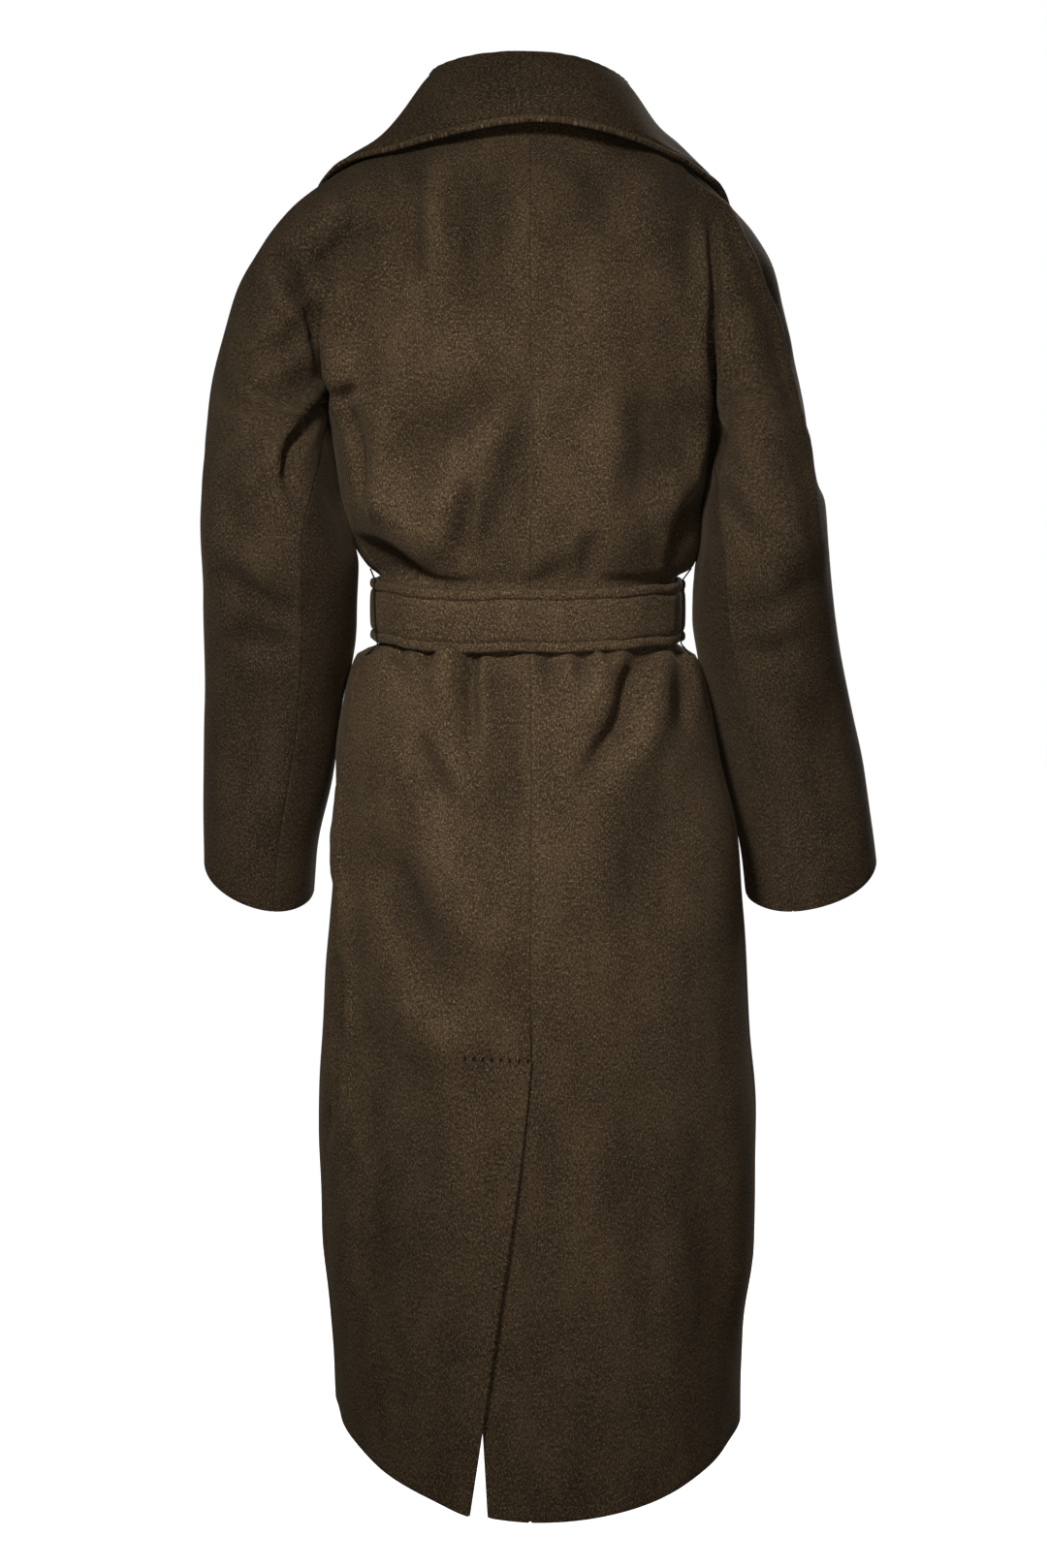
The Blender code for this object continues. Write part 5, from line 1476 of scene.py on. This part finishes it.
def make_knot(belt_face, material):
    """Knot of the belt: a rounded band with the pleats of the cloth drawn through it."""
    turn = np.linspace(0, 2 * np.pi, KNOT_SEGMENTS + 1)
    rise = np.linspace(-np.pi / 2, np.pi / 2, KNOT_RINGS + 1)[:, None]
    ball = np.stack([np.cos(rise) * np.cos(turn), np.cos(rise) * np.sin(turn), np.sin(rise) + 0 * turn], -1)
    grid = signed_power(ball, KNOT_ROUND) * KNOT_HALF
    pleats = 0.0
    for long, slant, high in KNOT_PLEATS:
        pleats = pleats + high * np.sin((grid[..., 0] + slant * grid[..., 2]) * 2 * np.pi / long)
    grid = grid - unit(ball) * (np.abs(pleats) * np.clip(-ball[..., 1], 0, 1))[..., None]
    grid = grid + [KNOT_X, belt_face - SEAM_GAP - KNOT_HALF[1], BELT_Z]
    numbers = numbered(grid)
    numbers[:, -1] = numbers[:, 0]
    numbers[0], numbers[-1] = numbers[0, 0], numbers[-1, 0]
    sheet = Sheet("knot", False)
    sheet.loft(numbers)
    used = np.unique(sheet.faces)
    order = np.zeros(grid[..., 0].size, int)
    order[used] = np.arange(len(used))
    cut = (cut_grid(grid) + [KNOT_PLACE, 0.0]).reshape(-1, 2)[used]
    return add_piece("cloth_knot", grid.reshape(-1, 3)[used], order[sheet.faces], cut, material)


def tail_profile():
    """Face of a belt end from edge to edge, in shares of its thickness and width."""
    outer = np.array([corner for corner in BELT_SECTION if corner.thick > TAIL_FACE])
    return refined(outer, BELT_FINER)


def make_tail(tail, panels, material):
    """Belt end hanging from the knot down the front, gathered where it leaves it."""
    tree = ground_of([panels["front_left"], panels["front_right"]]).tree
    reach = np.linspace(0, 1, TAIL_ROWS + 1)
    level = BELT_LOW + TAIL_TUCK - reach * (tail.length + TAIL_TUCK)
    gather = TAIL_GATHER + (1 - TAIL_GATHER) * ease(reach * tail.length, 0, TAIL_GATHER_LENGTH)
    middle = tail.x_top + (tail.x_low - tail.x_top) * reach
    middle = middle + TAIL_SWAY * np.sin(reach * 2 * np.pi)
    profile = tail_profile()
    thick, wide = profile.T
    probes = np.linspace(-0.5, 0.5, TAIL_PROBES) * BELT_WIDTH
    hits = [min(tree.ray_cast(Vector((x + step, TAIL_RAY_Y, min(z, BELT_LOW))), Vector((0, 1, 0)))[0].y
                for step in probes) for x, z in zip(middle, level)]
    lie = np.minimum.accumulate(np.minimum(hits, 0.0)) - LAP_AIR - BELT_THICK
    x = middle[:, None] + wide * BELT_WIDTH * gather[:, None]
    pleat = TAIL_SWAY * np.cos(wide * TAIL_PLEATS * 2 * np.pi) * (1 - gather[:, None]) / (1 - TAIL_GATHER) / 2
    y = lie[:, None] + (1 - thick) * BELT_THICK - np.abs(pleat)
    grid = np.stack([x, y, np.tile(level[:, None], (1, len(wide)))], -1)
    sheet = grid_sheet(grid, True, TAIL_PLACE + tail.x_top)
    out = np.tile([0.0, -1.0, 0.0], (len(sheet.points), 1))
    piece = add_wall("cloth_" + tail.name, sheet.points, out, sheet.faces, sheet.cut, BELT_THICK / 2,
                     np.arange(len(wide)), material)
    return piece, [(grid[:, column], out[:len(grid)]) for column in stitch_columns(profile)]


def vent_row(panels):
    """Path of the short row of stitches across the head of the vent."""
    back = panels["back_left"]
    row = back.rows["vent"]
    along = lengths(back.points[row])
    near, far = VENT_STITCH_ENDS
    wanted = np.linspace(near, VENT[0].under - far, VENT_STITCHES)
    points = points_at(back.points[row], wanted)
    out = unit(points_at(back.normals[row], np.interp(wanted, along, lengths(back.normals[row]))))
    return points, out


def stitch_sockets(face):
    """Inputs and output of the stitches' tree."""
    face.new_socket("Geometry", in_out="INPUT", socket_type="NodeSocketGeometry")
    for name in ("Pitch", "Length", "Width", "Height", "Turn", "Stray"):
        face.new_socket(name, in_out="INPUT", socket_type="NodeSocketFloat")
    face.new_socket("Seed", in_out="INPUT", socket_type="NodeSocketInt")
    face.new_socket("Thread", in_out="INPUT", socket_type="NodeSocketMaterial")
    face.new_socket("Geometry", in_out="OUTPUT", socket_type="NodeSocketGeometry")


def stitch_tree():
    """Geometry Nodes tree that lays small stitches along the edges of a mesh."""
    tree = bpy.data.node_groups.new("stitches", "GeometryNodeTree")
    stitch_sockets(tree.interface)

    def node(kind, settings, values, out=0):
        return new_node(tree, kind, settings, values).outputs[out]

    given = new_node(tree, "NodeGroupInput", {}, {}).outputs
    curve = node("GeometryNodeMeshToCurve", {}, {"Mesh": given["Geometry"]})
    even = node("GeometryNodeResampleCurve", {"mode": "LENGTH"}, {"Curve": curve, "Length": given["Pitch"]})
    ball = node("GeometryNodeMeshUVSphere", {}, STITCH_BALL)
    size = node("ShaderNodeCombineXYZ", {}, {"X": given["Length"], "Y": given["Width"], "Z": given["Height"]})
    stitch = node("GeometryNodeTransform", {}, {"Geometry": ball, "Scale": size})
    tangent = node("GeometryNodeInputTangent", {}, {})
    out = node("GeometryNodeInputNamedAttribute", {"data_type": "FLOAT_VECTOR"}, {"Name": "out"})
    lie = node("FunctionNodeAlignRotationToVector", {"axis": "X"}, {"Vector": tangent})
    stand = node("FunctionNodeAlignRotationToVector", {"axis": "Z", "pivot_axis": "X"},
                 {"Rotation": lie, "Vector": out})
    low = node("ShaderNodeMath", {"operation": "SUBTRACT"}, {0: given["Turn"], 1: given["Stray"]})
    high = node("ShaderNodeMath", {"operation": "ADD"}, {0: given["Turn"], 1: given["Stray"]})
    stray = node("FunctionNodeRandomValue", {"data_type": "FLOAT"},
                 {2: low, 3: high, "Seed": given["Seed"]}, out=1)
    turn = node("FunctionNodeAxisAngleToRotation", {}, {"Axis": (0.0, 0.0, 1.0), "Angle": stray})
    turned = node("FunctionNodeRotateRotation", {"rotation_space": "LOCAL"},
                  {"Rotation": stand, "Rotate By": turn})
    laid = node("GeometryNodeInstanceOnPoints", {}, {"Points": even, "Instance": stitch, "Rotation": turned})
    real = node("GeometryNodeRealizeInstances", {}, {"Geometry": laid})
    done = node("GeometryNodeSetMaterial", {}, {"Geometry": real, "Material": given["Thread"]})
    new_node(tree, "NodeGroupOutput", {}, {"Geometry": done})
    return tree


def stitch_line(name, paths):
    """Mesh of paths, each given by its points and the way out at them."""
    points = np.concatenate([path for path, _ in paths])
    outs = np.concatenate([out for _, out in paths])
    edges, first = [], 0
    for path, _ in paths:
        edges.extend((first + i, first + i + 1) for i in range(len(path) - 1))
        first += len(path)
    line = bpy.data.meshes.new(name + "_line")
    line.from_pydata(points.tolist(), edges, [])
    ways = line.attributes.new("out", "FLOAT_VECTOR", "POINT")
    ways.data.foreach_set("vector", outs.astype(np.float32).ravel())
    return line


def make_stitches(name, paths, size, tree, thread):
    """Stitches along paths."""
    piece = add_object(name, stitch_line(name, paths))
    modifier = piece.modifiers.new("stitches", "NODES")
    values = dict(zip(("Pitch", "Length", "Width", "Height", "Turn"), size))
    values.update({"Stray": STITCH_STRAY, "Seed": STITCH_SEED, "Thread": thread})
    modifier.node_group = tree
    for socket in tree.interface.items_tree:
        if socket.in_out == "INPUT" and socket.name in values:
            modifier[socket.identifier] = values[socket.name]
    graph = bpy.context.evaluated_depsgraph_get()
    mesh = bpy.data.meshes.new_from_object(piece.evaluated_get(graph))
    piece.modifiers.remove(modifier)
    piece.data = mesh
    mesh.polygons.foreach_set("use_smooth", np.ones(len(mesh.polygons), bool))
    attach(piece, "root")
    return piece


class Link:
    """A shader socket that takes part in Python sums; each operator adds a Math node."""

    def __init__(self, shade, socket):
        self.shade = shade
        self.socket = socket

    def math(self, operation, first, second):
        return self.shade.node("ShaderNodeMath", {"operation": operation}, {0: first, 1: second})

    def __add__(self, other):
        return self.math("ADD", self, other)

    def __sub__(self, other):
        return self.math("SUBTRACT", self, other)

    def __rsub__(self, other):
        return self.math("SUBTRACT", other, self)

    def __mul__(self, other):
        return self.math("MULTIPLY", self, other)

    __radd__ = __add__
    __rmul__ = __mul__


class Shade:
    """A material in the making: its nodes come from one method."""

    def __init__(self, name, constants):
        self.material = bpy.data.materials.new(name)
        self.material.use_nodes = True
        self.tree = self.material.node_tree
        self.shader = self.tree.nodes["Principled BSDF"]
        for key, value in constants.items():
            self.shader.inputs[key].default_value = value

    def node(self, kind, settings, values, out=0):
        plain = {key: getattr(value, "socket", value) for key, value in values.items()}
        return Link(self, new_node(self.tree, kind, settings, plain).outputs[out])

    def noise(self, place, scale, detail, rough=0.5):
        return self.node("ShaderNodeTexNoise", {"noise_dimensions": "3D"},
                         {"Vector": place, "Scale": scale, "Detail": detail, "Roughness": rough})

    def stretched(self, place, scale):
        return self.node("ShaderNodeMapping", {"vector_type": "POINT"}, {"Vector": place, "Scale": scale})

    def step(self, value, low, high):
        return self.node("ShaderNodeMapRange", {"interpolation_type": "SMOOTHSTEP"},
                         {"Value": value, "From Min": low, "From Max": high})

    def mix(self, factor, first, second):
        return self.node("ShaderNodeMix", {"data_type": "RGBA"}, {0: factor, 6: first, 7: second}, out=2)

    def done(self, **links):
        for key, value in links.items():
            put(self.tree, self.shader.inputs[key.replace("_", " ")], value.socket)
        return self.material


def brushed_wool():
    """Short-napped heathered wool: fibres along the cut's length, pale flecks and soft patches, darkened by
    painted shade.
    """
    shade = Shade("brushed_wool", WOOL_FINISH)
    cut = shade.node("ShaderNodeUVMap", {"uv_map": "cut"}, {})
    drift = shade.node("ShaderNodeTexNoise", {},
                       {"Vector": cut, "Scale": DRIFT_SCALE, "Detail": FINE_DETAIL}, out=1)
    drift = shade.node("ShaderNodeVectorMath", {"operation": "SCALE"}, {0: drift, "Scale": DRIFT})
    nap = shade.node("ShaderNodeVectorMath", {"operation": "ADD"}, {0: cut, 1: drift})
    fibre = shade.noise(shade.stretched(nap, FIBRE_SCALE), 1.0, FINE_DETAIL)
    fleck = shade.noise(shade.stretched(nap, FLECK_SCALE), 1.0, FLECK_DETAIL)
    heather = shade.noise(nap, HEATHER_SCALE, FINE_DETAIL)
    patch = shade.noise(shade.stretched(nap, PATCH_SCALE), 1.0, PATCH_DETAIL, PATCH_ROUGH)
    tone = TONE
    for noise, share in ((fibre, FIBRE_TONE), (heather, HEATHER_TONE), (patch, PATCH_TONE)):
        tone = tone + (noise - NOISE_MIDDLE) * share
    colour = shade.mix(shade.step(tone, 0.0, 1.0), WOOL_DARK, WOOL_LIGHT)
    colour = shade.mix(shade.step(fleck, *FLECK_RANGE) * FLECK_SHARE, colour, WOOL_FLECK)
    # Painted shade and highlight: the 'lie' attribute draws the colour towards black
    lie = shade.node("ShaderNodeAttribute", {"attribute_name": "lie"}, {}, out=2)
    colour = shade.mix(lie, BLACK, colour)
    height = fibre * FIBRE_BUMP + heather * HEATHER_BUMP + fleck * FLECK_BUMP
    bump = shade.node("ShaderNodeBump", {}, {**WOOL_BUMP, "Height": height})
    return shade.done(Base_Color=colour, Normal=bump)


def thread():
    """Dark twisted sewing thread."""
    shade = Shade("thread", THREAD_FINISH)
    place = shade.node("ShaderNodeTexCoord", {}, {}, out=3)
    ply = shade.noise(place, THREAD_SCALE, FINE_DETAIL)
    colour = shade.mix(ply, THREAD_DARK, THREAD_LIGHT)
    bump = shade.node("ShaderNodeBump", {}, {**THREAD_BUMP, "Height": ply})
    return shade.done(Base_Color=colour, Normal=bump)


def pale_floor():
    """Plain pale floor under the coat."""
    shade = Shade("pale_floor", FLOOR_FINISH)
    place = shade.node("ShaderNodeTexCoord", {}, {}, out=3)
    colour = shade.mix(shade.noise(place, FLOOR_SCALE, FINE_DETAIL), *FLOOR_TONES)
    mesh = bpy.data.meshes.new("floor")
    half = FLOOR_HALF
    corners = [(x, y, FLOOR_Z) for x, y in ((-half, -half), (half, -half), (half, half), (-half, half))]
    mesh.from_pydata(corners, [], [(0, 1, 2, 3)])
    mesh.materials.append(shade.done(Base_Color=colour))
    floor = add_object("floor", mesh)
    floor.visible_diffuse = False
    floor.visible_glossy = False


def add_camera():
    """Camera at the photo's angle."""
    camera = add_object("camera", bpy.data.cameras.new("camera"))
    way = aim(camera, (VIEW_MIDDLE[0], CAMERA_Y, CAMERA_Z), VIEW_MIDDLE)
    camera.data.sensor_fit = "VERTICAL"
    camera.data.sensor_height = SENSOR
    camera.data.lens = SENSOR / 2 / (VIEW_HALF / way.length)
    bpy.context.scene.camera = camera


def add_lights():
    """Soft lamps, a dim even light from all round, and a white background."""
    for lamp in LAMPS:
        light = bpy.data.lights.new(lamp.name, "AREA")
        light.shape = "DISK"
        light.size = lamp.size
        light.spread = np.radians(lamp.spread)
        light.energy = lamp.power
        holder = add_object(lamp.name, light)
        holder.visible_camera = False
        aim(holder, lamp.place, lamp.target)
    world = bpy.data.worlds.new("studio")
    world.use_nodes = True
    bpy.context.scene.world = world
    tree = world.node_tree
    seen = new_node(tree, "ShaderNodeLightPath", {}, {}).outputs["Is Camera Ray"]
    shown = new_node(tree, "ShaderNodeMapRange", {}, {"Value": seen, "To Min": AMBIENT, "To Max": 1.0})
    background = tree.nodes["Background"].inputs
    background["Color"].default_value = WHITE
    put(tree, background["Strength"], shown.outputs[0])
    bpy.context.scene.view_settings.view_transform = "Standard"


def stand_for(piece, node):
    """Let a cloth piece take the place of its solid."""
    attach(piece, "root")
    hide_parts(node)


def settle(piece, node):
    """Let a cloth piece take the place of its solid."""
    stand_for(piece, node)


def main():
    """Build the scene: light and floor, then the cloth from the panels to the belt's ends."""
    add_camera()
    add_lights()
    pale_floor()
    wool, dark_thread = brushed_wool(), thread()
    panels = make_panels()
    for node, sheet in panels.items():
        # Each panel's wool carries its painted shade in the 'lie' attribute
        piece = add_wall("cloth_" + node, sheet.points, sheet.normals, sheet.faces, sheet.cut, WALL,
                         sheet.seam_points(), wool, painted_shading(sheet))
        settle(piece, node)

    tree = stitch_tree()
    collar, collar_path = make_collar(panels, wool)
    belt, belt_paths, belt_face = make_belt(wool)
    knot = make_knot(belt_face, wool)
    tails = {tail.name: make_tail(tail, panels, wool) for tail in TAILS}
    collar_stitches = make_stitches("collar_stitches", [collar_path], EDGE_STITCH, tree, dark_thread)
    belt_stitches = make_stitches("belt_stitches", belt_paths, EDGE_STITCH, tree, dark_thread)
    make_stitches("vent_stitches", [vent_row(panels)], VENT_STITCH, tree, dark_thread)
    stand_for(knot, "belt_knot")
    settle(collar, "collar")
    settle(belt, "belt")
    for name, (piece, paths) in tails.items():
        stitches = make_stitches(name + "_stitches", paths, EDGE_STITCH, tree, dark_thread)
        settle(piece, name)
    for side in SIDES:
        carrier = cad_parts["belt_carrier_" + side]
        carrier.data.materials.clear()
        carrier.data.materials.append(dark_thread)


main()
